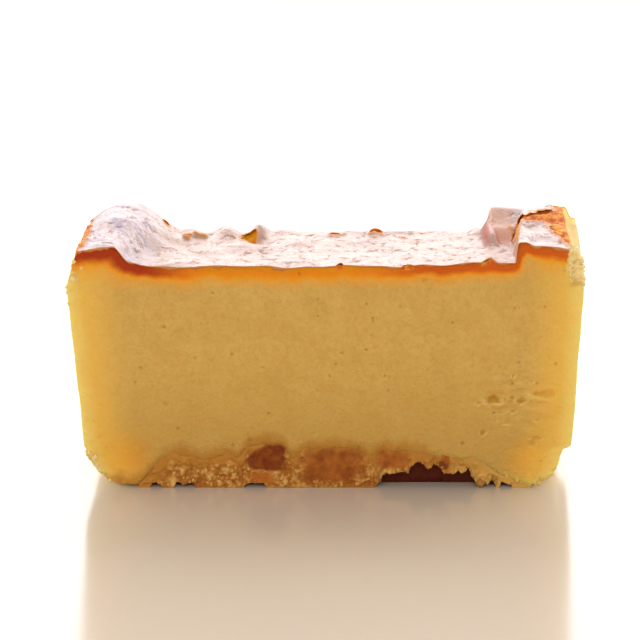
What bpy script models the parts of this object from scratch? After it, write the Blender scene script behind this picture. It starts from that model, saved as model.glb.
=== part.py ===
"""A slice of baked cheesecake, cut across a loaf: smooth custard with a browned crust, on a biscuit crumb base.

X runs along the slice from its left skin to its right skin, +Y from the front cut to the back cut, +Z up.
The origin is under the middle of the slice, on the surface it stands on. Sizes are in millimetres, and
become metres where a point is made. Depth is given as a share: 0 at the front cut, 1 at the back cut.
"""

import math
import random
from collections import namedtuple

import bmesh
import bpy
from mathutils import Matrix, Vector, noise

MM = 0.001

# The slice as cut
FRONT_WIDTH = 84.0
RIGHT_FLARE = 1.4
SLICE_DEPTH = 22.0
OVERALL_WIDTH = FRONT_WIDTH + RIGHT_FLARE
LEFT_SIDE = -OVERALL_WIDTH / 2
RIGHT_SIDE_FRONT = LEFT_SIDE + FRONT_WIDTH
STATIONS = 16
PITCH = 0.95

# The skins that stood against the tin: a slight taper, a rounded foot and a shoulder under the crust
Skin = namedtuple("Skin", "widest_height taper shoulder shoulder_power foot_height foot_reach roundness")
LEFT_SKIN = Skin(34.3, 0.077, 1.6, 1.2, 9.5, 8.6, 2.3)
RIGHT_SKIN = Skin(33.0, 0.045, 0.9, 3.0, 9.0, 7.6, 2.1)
SKIN_ROWS, SHOULDER_ROWS = 14, 3
FOOT_CROWDING = 1.35
SKIN_UNEVENNESS = 0.16
NICK_TOP, NICK_SOFT, NICK_IN, NICK_SHARE_BELOW = 7.4, 0.9, 1.3, 0.45

# The crust: a sunken middle between two rims that rose against the tin
CRUST_LEVEL = 38.0
CRUST_RISE_TO_RIGHT = 0.65
CRUST_RISE_FROM, CRUST_RISE_TO = 9.0, 23.0
CRUST_RISE_LOST_AT_BACK = 0.7
LEFT_CREST_FRONT, LEFT_CREST_BACK = -35.1, -33.6
LEFT_FOOT_FRONT, LEFT_FOOT_BACK = -32.6, -23.8
LEFT_RISE_FRONT, LEFT_RISE_BACK = 3.2, 5.2
LEFT_TAIL, LEFT_TAIL_REACH = 0.30, 4.5
LEFT_FALL_FRONT, LEFT_FALL_BACK = 1.0, 5.2
LEFT_BROW, LEFT_BROW_POWER = 4.0, 8
RIGHT_EDGE, RIGHT_STEP = 30.3, 0.5
RIGHT_EDGE_LEAN, RIGHT_STEP_SPREAD = 1.4, 2.2
INNER_EDGE, INNER_STEP = 26.8, 1.4
INNER_FROM, INNER_TO, INNER_LOW = 0.62, 0.76, 0.55
BUTTRESS_X, BUTTRESS_RISE, BUTTRESS_WIDE = 27.1, 2.1, 1.5
BUTTRESS_FROM, BUTTRESS_TO = 0.42, 0.62
RIGHT_RISE_FRONT, RIGHT_RISE_BACK = 3.4, 4.1
RIGHT_DIP, RIGHT_DIP_FROM, RIGHT_DIP_TO = 0.9, 1.2, 3.2
RIGHT_PEAK, RIGHT_PEAK_AT, RIGHT_PEAK_REACH = 0.4, 37.6, 4.2
RIGHT_FALL_FRONT, RIGHT_FALL_BACK = 0.9, 1.9
RIGHT_FALL_FROM_FRONT, RIGHT_FALL_FROM_BACK = 38.2, 39.9
RIGHT_FALL_REACH_FRONT, RIGHT_FALL_REACH_BACK = 2.6, 1.2
WRINKLE_HEIGHT = 0.30
WRINKLE_LENGTH = 5.2

# Blisters and lifted flakes of the crust: where they stand, how high and how wide
Blister = namedtuple("Blister", "x share height wide long")
BLISTERS = (
    Blister(-23.4, 0.93, 0.9, 2.4, 0.22),
    Blister(-17.4, 0.96, 1.0, 2.6, 0.24),
    Blister(-11.8, 0.93, 1.8, 2.3, 0.17),
    Blister(7.7, 0.96, 0.8, 1.9, 0.14),
    Blister(24.9, 0.93, 0.7, 1.5, 0.16),
    Blister(26.1, 0.02, 0.7, 1.2, 0.07),
    Blister(-12.6, 0.74, -0.9, 1.5, 0.10),
)

# The crumb base, and the larger biscuit pieces that the cut went through
BASE_LEFT, BASE_RIGHT = -31.6, 33.4
BASE_LEVEL = 5.3
BASE_EDGE = 0.5
BASE_END = 0.7
BASE_SLOPE_LEFT, BASE_SLOPE_RIGHT = 4.6, 12.0
BASE_INSET = 0.5
BASE_UNEVENNESS = 0.55
BASE_GRAIN = 4.3
CLEARANCE = 0.3
FOOT_GAP = 0.5
Chunk = namedtuple("Chunk", "x top low wide")
CHUNKS = (
    Chunk(-10.2, 7.5, 3.0, 6.0),
    Chunk(0.3, 6.8, 1.2, 9.6),
    Chunk(10.4, 6.5, 3.6, 5.2),
    Chunk(19.2, 5.9, 3.6, 1.9),
)
CHUNK_REACH = 3.4
CHUNK_PROUD = 0.35
CHUNK_FADE_FROM, CHUNK_FADE_TO = 2.4, 11.0
CHUNK_SIDE_OUT, CHUNK_SIDE_IN = 1.4, 0.6

# Bites out of the underside where base has crumbled away: left, right, height, depth share
Gap = namedtuple("Gap", "left right height share")
GAPS = (
    Gap(7.6, 14.0, 2.4, 0.10),
    Gap(12.3, 19.8, 3.9, 0.11),
    Gap(16.8, 24.7, 2.8, 0.10),
    Gap(25.2, 27.6, 0.9, 0.06),
    Gap(28.2, 30.4, 0.8, 0.05),
    Gap(-29.8, -27.6, 0.8, 0.05),
    Gap(-26.0, -22.2, 0.7, 0.06),
    Gap(-14.4, -10.2, 0.7, 0.06),
)
GAP_SIDE = 0.35
GAP_CEILING_SHARE = 0.6
GAP_RAGGEDNESS, GAP_RAGGED_LENGTH = 0.18, 1.3

# Loose crumbs stuck to the base and to the skins
CRUMB_SEED = 7
BASE_CRUMBS = 46
CRUMB_SMALL, CRUMB_LARGE = 0.55, 0.95
CRUMB_JITTER = 0.22
Cluster = namedtuple("Cluster", "x height share spread count small large")
SKIN_CRUMBS = (
    Cluster(40.9, 37.4, 0.12, (0.4, 2.2, 0.09), 14, 0.40, 0.80),
    Cluster(-41.1, 16.4, 0.12, (0.1, 0.1, 0.01), 1, 0.50, 0.55),
    Cluster(-38.2, 4.4, 0.08, (0.7, 1.3, 0.06), 4, 0.35, 0.60),
    Cluster(38.2, 5.4, 0.12, (0.3, 0.8, 0.08), 3, 0.35, 0.60),
)

# Torn hollows that the knife dragged out of the front cut: where, how wide and high
Tear = namedtuple("Tear", "x height wide high")
TEARS = (
    Tear(28.6, 17.1, 3.4, 1.1),
    Tear(37.3, 17.4, 2.9, 1.0),
    Tear(34.4, 10.6, 2.2, 1.3),
)
TEAR_DEPTH = 0.55

# Surface colours, linear
CUSTARD_COLOUR = (0.78, 0.50, 0.16, 1.0)
CRUST_COLOUR = (0.30, 0.085, 0.022, 1.0)
BISCUIT_COLOUR = (0.52, 0.25, 0.075, 1.0)
CUSTARD_ROUGHNESS, CRUST_ROUGHNESS, BISCUIT_ROUGHNESS = 0.55, 0.3, 0.85
SMOOTH_BELOW = math.radians(38)
CRUST_LOOKS_UP = 0.25
CRUST_DROOP = 1.5


def clear_scene():
    """Removes what the scene starts with."""
    for thing in list(bpy.data.objects):
        bpy.data.objects.remove(thing)


def blend(first, second, share):
    """The value a share of the way from first to second."""
    return first + (second - first) * share


def ease(start, end, value):
    """0 before start, 1 after end, and a smooth rise between."""
    share = min(1.0, max(0.0, (value - start) / (end - start)))
    return share * share * (3 - 2 * share)


def hump(value, centre, half_width):
    """1 at the centre, falling smoothly to 0 at half_width to either side."""
    away = abs(value - centre) / half_width
    return (1 - away * away) ** 2 if away < 1 else 0.0


def rough(x, y, z, length):
    """Smooth noise from about -1 to 1, whose lumps are about one length across."""
    return noise.noise(Vector((x, y, z)) / length) * 1.6


def depth_of(share):
    """The y of a share of the slice's depth."""
    return (share - 0.5) * SLICE_DEPTH


def crust_middle(x, share):
    """Height of the sunken middle of the crust, which rises a little to the right at the front."""
    rise = CRUST_RISE_TO_RIGHT * ease(CRUST_RISE_FROM, CRUST_RISE_TO, x)
    return CRUST_LEVEL + rise * (1 - CRUST_RISE_LOST_AT_BACK * share)


def left_rim(x, share):
    """Rise of the left rim: a narrow ledge with a steep step at the front, a broad dome at the back."""
    late = ease(0.0, 0.9, share)
    crest = blend(LEFT_CREST_FRONT, LEFT_CREST_BACK, late)
    foot = blend(LEFT_FOOT_FRONT, LEFT_FOOT_BACK, ease(0.05, 0.75, share))
    rise = blend(LEFT_RISE_FRONT, LEFT_RISE_BACK, late)
    if x >= crest:
        tail = LEFT_TAIL * (1 - late)
        return rise * (1 - (1 - tail) * ease(crest, foot, x) - tail * ease(crest, foot + LEFT_TAIL_REACH, x))
    outward = (crest - x) / (crest - LEFT_SIDE)
    fall = blend(LEFT_FALL_FRONT, LEFT_FALL_BACK, late)
    return rise - fall * outward**2 - LEFT_BROW * late * outward**LEFT_BROW_POWER


def right_rim(x, share):
    """Rise of the right rim: an upright block by the skin, and behind it one that reaches further inwards."""
    dip = RIGHT_DIP * ease(RIGHT_EDGE + RIGHT_DIP_FROM, RIGHT_EDGE + RIGHT_DIP_TO, x) * (1 - share)
    peak = RIGHT_PEAK * hump(x, RIGHT_PEAK_AT, RIGHT_PEAK_REACH) * share
    fall_from = blend(RIGHT_FALL_FROM_FRONT, RIGHT_FALL_FROM_BACK, share)
    reach = blend(RIGHT_FALL_REACH_FRONT, RIGHT_FALL_REACH_BACK, share)
    fall = blend(RIGHT_FALL_FRONT, RIGHT_FALL_BACK, share) * ease(fall_from, fall_from + reach, x)
    rise = blend(RIGHT_RISE_FRONT, RIGHT_RISE_BACK, share) - dip + peak - fall
    edge, step = RIGHT_EDGE + RIGHT_EDGE_LEAN * share, RIGHT_STEP + RIGHT_STEP_SPREAD * share
    outer = rise * ease(edge - step / 2, edge + step / 2, x)
    inner = rise * ease(INNER_EDGE - INNER_STEP / 2, INNER_EDGE + INNER_STEP / 2, x)
    inner *= ease(INNER_FROM, INNER_TO, share) * blend(INNER_LOW, 1.0, ease(INNER_TO, 1.0, share))
    buttress = BUTTRESS_RISE * hump(x, BUTTRESS_X, BUTTRESS_WIDE) * ease(BUTTRESS_FROM, BUTTRESS_TO, share)
    return max(outer, inner, buttress)


def blisters(x, share):
    """Sum of the crust's blisters, lifted flakes and one burst bubble."""
    return sum(b.height * hump(x, b.x, b.wide) * hump(share, b.share, b.long) for b in BLISTERS)


def crust_height(x, share):
    """Height of the crust at x and a share of the depth."""
    wrinkle = WRINKLE_HEIGHT * rough(x, depth_of(share) * 1.4, 3.7, WRINKLE_LENGTH)
    return crust_middle(x, share) + left_rim(x, share) + right_rim(x, share) + blisters(x, share) + wrinkle


def skin_inset(skin, z, top):
    """How far the skin lies inside its widest line at height z."""
    if z > skin.widest_height:
        return skin.shoulder * ((z - skin.widest_height) / (top - skin.widest_height)) ** skin.shoulder_power
    inset = skin.taper * (skin.widest_height - z)
    if z < skin.foot_height:
        sunk = (skin.foot_height - z) / skin.foot_height
        inset += skin.foot_reach * (1 - (1 - sunk**skin.roundness) ** (1 / skin.roundness))
    return inset


def left_skin_x(z, share, top):
    """The x of the left skin at height z."""
    uneven = SKIN_UNEVENNESS * (1 + rough(z, depth_of(share), 11.0, 6.0)) / 2
    return LEFT_SIDE + skin_inset(LEFT_SKIN, z, top) + uneven * ease(0.0, 4.0, abs(z - LEFT_SKIN.widest_height))


def right_skin_x(z, share, top):
    """The x of the right skin at height z: it flares outwards towards the back, and steps in over its foot."""
    uneven = SKIN_UNEVENNESS * (1 + rough(z, depth_of(share), 23.0, 6.0)) / 2
    nick = NICK_IN * ease(NICK_TOP, NICK_TOP - NICK_SOFT, z) * blend(NICK_SHARE_BELOW, 1.0, z / NICK_TOP)
    side = RIGHT_SIDE_FRONT + RIGHT_FLARE * share - nick
    return side - skin_inset(RIGHT_SKIN, z, top) - uneven * ease(0.0, 4.0, abs(z - RIGHT_SKIN.widest_height))


def chunk_rise(x, share):
    """How far the larger biscuit pieces at the front cut lift the top of the base."""
    fade = 1 - ease(CHUNK_FADE_FROM, CHUNK_FADE_TO, share * SLICE_DEPTH)
    lifts = []
    for chunk in CHUNKS:
        half = chunk.wide / 2
        lifts.append((chunk.top - BASE_LEVEL) * ease(half + CHUNK_SIDE_OUT, half - CHUNK_SIDE_IN, abs(x - chunk.x)))
    return fade * max(lifts)


def base_height(x, share):
    """Height of the top of the crumb base at x and a share of the depth."""
    y = depth_of(share)
    level = BASE_LEVEL + BASE_UNEVENNESS * rough(x, y, 31.0, BASE_GRAIN)
    left = ease(BASE_LEFT - BASE_END, BASE_LEFT + BASE_SLOPE_LEFT, x)
    right = ease(BASE_RIGHT + BASE_END, BASE_RIGHT - BASE_SLOPE_RIGHT, x)
    return BASE_EDGE + (level - BASE_EDGE) * left * right + chunk_rise(x, share)


def base_floor(x, share):
    """Height of the underside of the base: on the table, except where it has crumbled away."""
    height = 0.0
    for gap in GAPS:
        middle, half = (gap.left + gap.right) / 2, (gap.right - gap.left) / 2
        arch = ease(0.0, GAP_SIDE, 1 - abs(x - middle) / half)
        height = max(height, gap.height * arch * (1 - ease(GAP_CEILING_SHARE, 1.0, share / gap.share)))
    ragged = 1 + GAP_RAGGEDNESS * rough(x, depth_of(share), 47.0, GAP_RAGGED_LENGTH)
    return max(0.0, min(height * ragged, base_height(x, share) - BASE_EDGE * 2))


def spread(start, end, pitch):
    """Evenly spaced values from start to end, about one pitch apart."""
    count = max(2, round(abs(end - start) / pitch))
    return [blend(start, end, i / count) for i in range(count + 1)]


def skin_rows(skin, top):
    """Heights of the points up a skin, closer together at its rounded foot."""
    low = [blend(FOOT_GAP, skin.widest_height, (i / SKIN_ROWS) ** FOOT_CROWDING) for i in range(SKIN_ROWS)]
    return low + [blend(skin.widest_height, top, i / SHOULDER_ROWS) for i in range(SHOULDER_ROWS + 1)]


def custard_outline(share):
    """Points (x, z) of the custard's outline at a share of the depth, clockwise from the left foot."""
    left_top = crust_height(LEFT_SIDE + LEFT_SKIN.shoulder, share)
    right_top = crust_height(RIGHT_SIDE_FRONT + RIGHT_FLARE * share - RIGHT_SKIN.shoulder, share)
    left = [(left_skin_x(z, share, left_top), z) for z in skin_rows(LEFT_SKIN, left_top)]
    right = [(right_skin_x(z, share, right_top), z) for z in reversed(skin_rows(RIGHT_SKIN, right_top))]
    top_x = [blend(left[-1][0], right[0][0], i / TOP_COLUMNS) for i in range(1, TOP_COLUMNS)]
    top = [(x, crust_height(x, share)) for x in top_x]
    under = [(x, custard_underside(x, share)) for x in reversed(UNDER_COLUMNS)]
    return left + top + right + under


def custard_underside(x, share):
    """Height of the custard's underside, which lies on the base and reaches lower beyond its ends."""
    if x < BASE_LEFT or x > BASE_RIGHT:
        return FOOT_GAP
    return base_height(x, share) + CLEARANCE


def base_outline(share):
    """Points (x, z) of the base's outline at a share of the depth, clockwise from the lower left."""
    under = [(x, base_floor(x, share)) for x in reversed(BASE_COLUMNS)]
    top = [(x, base_height(x, share)) for x in BASE_COLUMNS]
    return top + under


TOP_COLUMNS = round(OVERALL_WIDTH / PITCH)
BASE_COLUMNS = spread(BASE_LEFT, BASE_RIGHT, PITCH)
UNDER_COLUMNS = [BASE_LEFT - CLEARANCE, *BASE_COLUMNS, BASE_RIGHT + CLEARANCE]


def loft(name, outline, inset=0.0):
    """A closed body skinned over one outline for each station, from the front cut to the back cut.

    The inset draws in only the two end stations, so that bodies that face each other share all the others.
    """
    body = bmesh.new()
    loops = []
    end = inset / SLICE_DEPTH
    for station in range(STATIONS):
        share = min(max(station / (STATIONS - 1), end), 1 - end)
        ring = [body.verts.new(Vector((x, depth_of(share), z)) * MM) for x, z in outline(share)]
        edges = [body.edges.new((ring[i - 1], ring[i])) for i in range(len(ring))]
        loops.append((ring, edges))
    for (_, near), (_, far) in zip(loops, loops[1:]):
        bmesh.ops.bridge_loops(body, edges=near + far)
    for ring, _ in (loops[0], loops[-1]):
        body.faces.new(ring)
    bmesh.ops.recalc_face_normals(body, faces=body.faces)
    return add_object(name, body)


def add_object(name, body):
    """Turns a bmesh into a named object of the scene."""
    mesh = bpy.data.meshes.new(name)
    body.to_mesh(mesh)
    body.free()
    made = bpy.data.objects.new(name, mesh)
    bpy.context.scene.collection.objects.link(made)
    return made


def crumb(name, rng, centre, radius):
    """An uneven crumb with few sides, round centre."""
    body = bmesh.new()
    bmesh.ops.create_icosphere(body, subdivisions=1, radius=radius * MM)
    for vert in body.verts:
        vert.co *= 1 + rng.uniform(-CRUMB_JITTER, CRUMB_JITTER)
    turn = Matrix.Rotation(rng.uniform(0, math.tau), 4, Vector((rng.random(), rng.random(), 1)).normalized())
    bmesh.ops.transform(body, matrix=Matrix.Translation(Vector(centre) * MM) @ turn, verts=body.verts)
    return add_object(name, body)


def base_crumbs(rng):
    """Crumbs that stand out of the base's two cut faces, level with the cuts."""
    made = []
    for i in range(BASE_CRUMBS):
        radius = rng.uniform(CRUMB_SMALL, CRUMB_LARGE)
        front = i % 2 == 0
        share = 0.0 if front else 1.0
        x = blend(BASE_LEFT + 3, BASE_RIGHT - 4, (i // 2 + rng.random()) / (BASE_CRUMBS // 2))
        reach = radius * (1 + CRUMB_JITTER)
        low = max(base_floor(near, share) for near in (x - reach, x, x + reach)) + reach
        high = min(base_height(near, share) for near in (x - reach, x, x + reach)) - reach
        if high <= low:
            continue
        face = SLICE_DEPTH / 2 - reach
        made.append(crumb(f"base_crumb_{i}", rng, (x, -face if front else face, rng.uniform(low, high)), radius))
    return made


def biscuit_chunks():
    """The larger biscuit pieces, as low bulges of the base at the front cut."""
    made = []
    for i, piece in enumerate(CHUNKS):
        middle = (piece.top + piece.low) / 2 - CLEARANCE
        body = bmesh.new()
        bmesh.ops.create_icosphere(body, subdivisions=2, radius=1.0)
        size = (piece.wide / 2, CHUNK_REACH / 2, (piece.top - piece.low) / 2 - CLEARANCE)
        bmesh.ops.scale(body, vec=Vector(size) * MM, verts=body.verts)
        y = -SLICE_DEPTH / 2 + BASE_INSET - CHUNK_PROUD + size[1]
        bmesh.ops.translate(body, vec=Vector((piece.x, y, middle)) * MM, verts=body.verts)
        made.append(add_object(f"chunk_{i}", body))
    return made


def skin_crumbs(rng):
    """Torn bits that cling to the skins near the front cut."""
    made = []
    for group, cluster in enumerate(SKIN_CRUMBS):
        for i in range(cluster.count):
            radius = rng.uniform(cluster.small, cluster.large)
            away_x, away_z, away_share = (rng.uniform(-s, s) for s in cluster.spread)
            share = max(0.05, cluster.share + away_share)
            centre = (cluster.x + away_x, depth_of(share) + radius, cluster.height + away_z)
            made.append(crumb(f"skin_crumb_{group}_{i}", rng, centre, radius))
    return made


def tear_cutters():
    """Flat lens shapes that carve the torn hollows out of the front cut."""
    made = []
    for i, tear in enumerate(TEARS):
        body = bmesh.new()
        bmesh.ops.create_icosphere(body, subdivisions=2, radius=1.0)
        bmesh.ops.scale(body, vec=Vector((tear.wide / 2, TEAR_DEPTH, tear.high / 2)) * MM, verts=body.verts)
        place = Vector((tear.x, -SLICE_DEPTH / 2, tear.height)) * MM
        bmesh.ops.translate(body, vec=place, verts=body.verts)
        made.append(add_object(f"tear_{i}", body))
    return made


def combine(target, tools, operation):
    """Applies one Boolean between target and all the tools, then removes the tools."""
    group = bpy.data.collections.new("tools")
    bpy.context.scene.collection.children.link(group)
    for tool in tools:
        group.objects.link(tool)
        bpy.context.scene.collection.objects.unlink(tool)
    modifier = target.modifiers.new("join", "BOOLEAN")
    modifier.operation = operation
    modifier.operand_type = "COLLECTION"
    modifier.collection = group
    modifier.solver = "EXACT"
    bpy.context.view_layer.update()
    result = bpy.data.meshes.new_from_object(target.evaluated_get(bpy.context.evaluated_depsgraph_get()))
    target.modifiers.remove(modifier)
    target.data = result
    for tool in tools:
        bpy.data.objects.remove(tool)
    bpy.data.collections.remove(group)
    drop_scraps(target)


def drop_scraps(thing):
    """Keeps only the largest connected body of an object's mesh."""
    body = bmesh.new()
    body.from_mesh(thing.data)
    unseen, islands = set(body.verts), []
    while unseen:
        island, front = set(), [unseen.pop()]
        while front:
            vert = front.pop()
            island.add(vert)
            near = {edge.other_vert(vert) for edge in vert.link_edges} & unseen
            unseen -= near
            front.extend(near)
        islands.append(island)
    islands.sort(key=len)
    scraps = [vert for island in islands[:-1] for vert in island]
    bmesh.ops.delete(body, geom=scraps, context="VERTS")
    body.to_mesh(thing.data)
    body.free()


def surface(name, colour, roughness):
    """A plain surface of one colour."""
    made = bpy.data.materials.new(name)
    made.use_nodes = True
    shader = made.node_tree.nodes["Principled BSDF"]
    shader.inputs["Base Color"].default_value = colour
    shader.inputs["Roughness"].default_value = roughness
    shader.inputs["Metallic"].default_value = 0.0
    return made


def dress(thing, *materials):
    """Gives an object its materials, smooth shading and sharp cut edges."""
    thing.data.materials.clear()
    for material in materials:
        thing.data.materials.append(material)
    thing.data.shade_smooth()
    thing.data.set_sharp_from_angle(angle=SMOOTH_BELOW)


def brown_the_top(custard):
    """Gives the faces that look up near the top the crust's own surface."""
    for face in custard.data.polygons:
        is_top = face.normal.z > CRUST_LOOKS_UP and face.center.z > (CRUST_LEVEL - CRUST_DROOP) * MM
        face.material_index = 1 if is_top else 0


def main():
    """Builds the custard and the base that it stands on."""
    clear_scene()
    rng = random.Random(CRUMB_SEED)
    custard = loft("custard", custard_outline)
    combine(custard, skin_crumbs(rng), "UNION")
    combine(custard, tear_cutters(), "DIFFERENCE")
    base = loft("crumb_base", base_outline, inset=BASE_INSET)
    combine(base, base_crumbs(rng) + biscuit_chunks(), "UNION")
    custard_surface = surface("custard", CUSTARD_COLOUR, CUSTARD_ROUGHNESS)
    crust_surface = surface("browned_crust", CRUST_COLOUR, CRUST_ROUGHNESS)
    dress(custard, custard_surface, crust_surface)
    brown_the_top(custard)
    dress(base, surface("biscuit_crumb", BISCUIT_COLOUR, BISCUIT_ROUGHNESS))


main()
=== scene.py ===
"""A slice of baked cheesecake: custard under a glossy, wrinkled, browned crust, on a pressed biscuit base.

Sizes are in millimetres in the slice's own frame, X to the right skin, +Y from the front cut to the back cut,
+Z up from the table, and become metres where a mesh is made. Depth is given as a share: 0 at the front cut
and 1 at the back cut. Sizes inside materials and node trees are in metres, and their scales per metre.
"""

import logging
import math
from dataclasses import dataclass, field
from enum import Enum
from functools import reduce
from typing import Any, Callable, ClassVar, Iterable

import bmesh
import bpy
import numpy as np
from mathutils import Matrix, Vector, noise


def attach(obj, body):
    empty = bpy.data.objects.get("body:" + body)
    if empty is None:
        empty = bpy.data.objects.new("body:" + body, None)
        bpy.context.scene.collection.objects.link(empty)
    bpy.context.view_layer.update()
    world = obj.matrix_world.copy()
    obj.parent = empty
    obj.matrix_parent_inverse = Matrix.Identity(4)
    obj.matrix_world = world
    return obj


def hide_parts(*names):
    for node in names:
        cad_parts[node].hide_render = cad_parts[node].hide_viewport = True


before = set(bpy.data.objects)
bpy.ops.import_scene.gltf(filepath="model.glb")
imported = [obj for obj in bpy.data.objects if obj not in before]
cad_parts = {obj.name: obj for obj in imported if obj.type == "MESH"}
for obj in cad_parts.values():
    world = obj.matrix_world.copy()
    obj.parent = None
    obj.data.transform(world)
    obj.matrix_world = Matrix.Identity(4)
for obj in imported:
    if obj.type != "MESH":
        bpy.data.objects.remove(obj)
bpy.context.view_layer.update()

LOG = logging.getLogger("cheesecake")
MM = 0.001
AT_CUT = 0.002  # the depth share within which a point lies on a cut
Array = np.ndarray
Thing = bpy.types.Object
Material = bpy.types.Material
Socket = bpy.types.NodeSocket
Outputs = bpy.types.NodeOutputs
Colour = tuple[float, float, float]
Triple = tuple[float, float, float]
Cloud = tuple[float, float, float]  # a noise's scale, detail and roughness
Span = tuple[float, ...]  # a range, and the range that it is mapped to if that isn't 0 to 1
Walls = tuple[Array, Array]  # the x and the z of a wall's points


class Piece(Enum):
    """The scene's pieces and the names they are reported by."""

    BODY = "custard_body"
    CRUST = "crust_skin"
    CUSTARD_CRUMBS = "custard_crumbs"
    BASE = "biscuit_core"
    GRAINS = "biscuit_grains"


class Kind(Enum):
    """Kinds of socket that a node tree's interface uses."""

    SHAPE = "NodeSocketGeometry"
    NUMBER = "NodeSocketFloat"
    WHOLE = "NodeSocketInt"
    VECTOR = "NodeSocketVector"


def blend(first: Any, second: Any, share: Any) -> Any:
    """The value a share of the way from first to second."""
    return first + (second - first) * share


def ease(start: float, end: float, value: Array) -> Array:
    """0 before start, 1 after end, and a smooth rise between."""
    share = np.clip((value - start) / (end - start), 0.0, 1.0)
    return share * share * (3 - 2 * share)


def hump(value: Array, centre: float, half_width: float) -> Array:
    """1 at the centre, falling smoothly to 0 at half_width to either side."""
    away = np.clip(np.abs(value - centre) / half_width, 0.0, 1.0)
    return (1 - away * away) ** 2


def largest(values: list[Array]) -> Array:
    """The largest of several values at each point."""
    return np.maximum.reduce(values)


def rough(x: Array, y: Array, z: Array | float, length: float) -> Array:
    """Smooth noise from about -1 to 1, whose lumps are about one length across.

    Args:
        x: first coordinate of each point.
        y: second coordinate, of the same shape or one that broadcasts to it.
        z: third coordinate; a bare number picks the plane that a pattern is cut from.
        length: the size of a lump.

    Returns:
        One value for each point.
    """
    points = np.stack(np.broadcast_arrays(x, y, z), axis=-1) / length
    values = [noise.noise(Vector(point)) for point in points.reshape(-1, 3)]
    return 1.6 * np.array(values).reshape(points.shape[:-1])


@dataclass(frozen=True)
class Skin:
    """An end skin, which stood against the tin: its taper, shoulder and rounded foot."""

    widest_height: float
    taper: float
    shoulder: float
    shoulder_power: float
    foot_height: float
    foot_reach: float
    roundness: float

    def inset(self, z: Array, top: Array) -> Array:
        """How far the skin lies inside its widest line.

        Args:
            z: each point's height.
            top: height of the crust above each.

        Returns:
            One distance for each height.
        """
        above = np.clip((z - self.widest_height) / (top - self.widest_height), 0.0, 1.0)
        below = np.clip(self.widest_height - z, 0.0, None)
        sunk = np.clip((self.foot_height - z) / self.foot_height, 0.0, 1.0)
        foot = self.foot_reach * (1 - (1 - sunk**self.roundness) ** (1 / self.roundness))
        return self.shoulder * above**self.shoulder_power + self.taper * below + foot


@dataclass(frozen=True)
class Spot:
    """A feature of the crust: where it stands, how high it rises, how wide (mm) and long (share) it is."""

    x: float
    share: float
    height: float
    wide: float
    long: float

    def rise(self, x: Array, share: Array) -> Array:
        """Height that the feature adds at x and share."""
        return self.height * hump(x, self.x, self.wide) * hump(share, self.share, self.long)


@dataclass(frozen=True)
class Chunk:
    """A larger biscuit piece in the base: its middle, top, underside and width, and the cut it shows at.

    Its left part droops and narrows by the slant, its colour runs from dark to light with the tone, and its
    outline is blurred.
    """

    x: float
    top: float
    low: float
    wide: float
    tone: float
    slant: float
    blur: float
    front: bool = True

    SQUARENESS: ClassVar[int] = 4
    NARROWS_UP_TO: ClassVar[float] = 1.2
    DROOP: ClassVar[float] = 0.6

    def cover(self, x: Array, z: Array, ragged: Array) -> Array:
        """How much of each point of the cut the piece covers.

        Args:
            x: each point's x.
            z: each point's height.
            ragged: how far the outline wanders in or out at each point, as a share of the piece.

        Returns:
            Values from 0 to 1.
        """
        side = (x - self.x) / self.wide * 2
        left = np.clip(-side, 0, self.NARROWS_UP_TO)
        up = (z - (self.top + self.low) / 2) / (self.top - self.low) * 2 + self.DROOP * self.slant * left
        up = up / (1 - self.slant * left)
        power = self.SQUARENESS
        away = (np.abs(side) ** power + np.abs(up) ** power) ** (1 / power) + ragged
        return 1 - ease(1 - self.blur, 1 + self.blur, away)


@dataclass(frozen=True)
class Gap:
    """A bite out of the base's underside at the front cut."""

    left: float
    right: float
    height: float
    share: float


@dataclass(frozen=True)
class Tear:
    """A hollow that the knife dragged out of the front cut."""

    x: float
    z: float
    wide: float
    high: float
    deep: float


@dataclass(frozen=True)
class Patch:
    """A soft-edged patch of a cut or a skin: its middle, half its width and height, and its strength."""

    x: float
    z: float
    wide: float
    high: float
    strength: float = 1.0

    def on(self, x: Array, z: Array) -> Array:
        """The patch's strength at x and z."""
        return self.strength * hump(x, self.x, self.wide) * hump(z, self.z, self.high)


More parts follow.
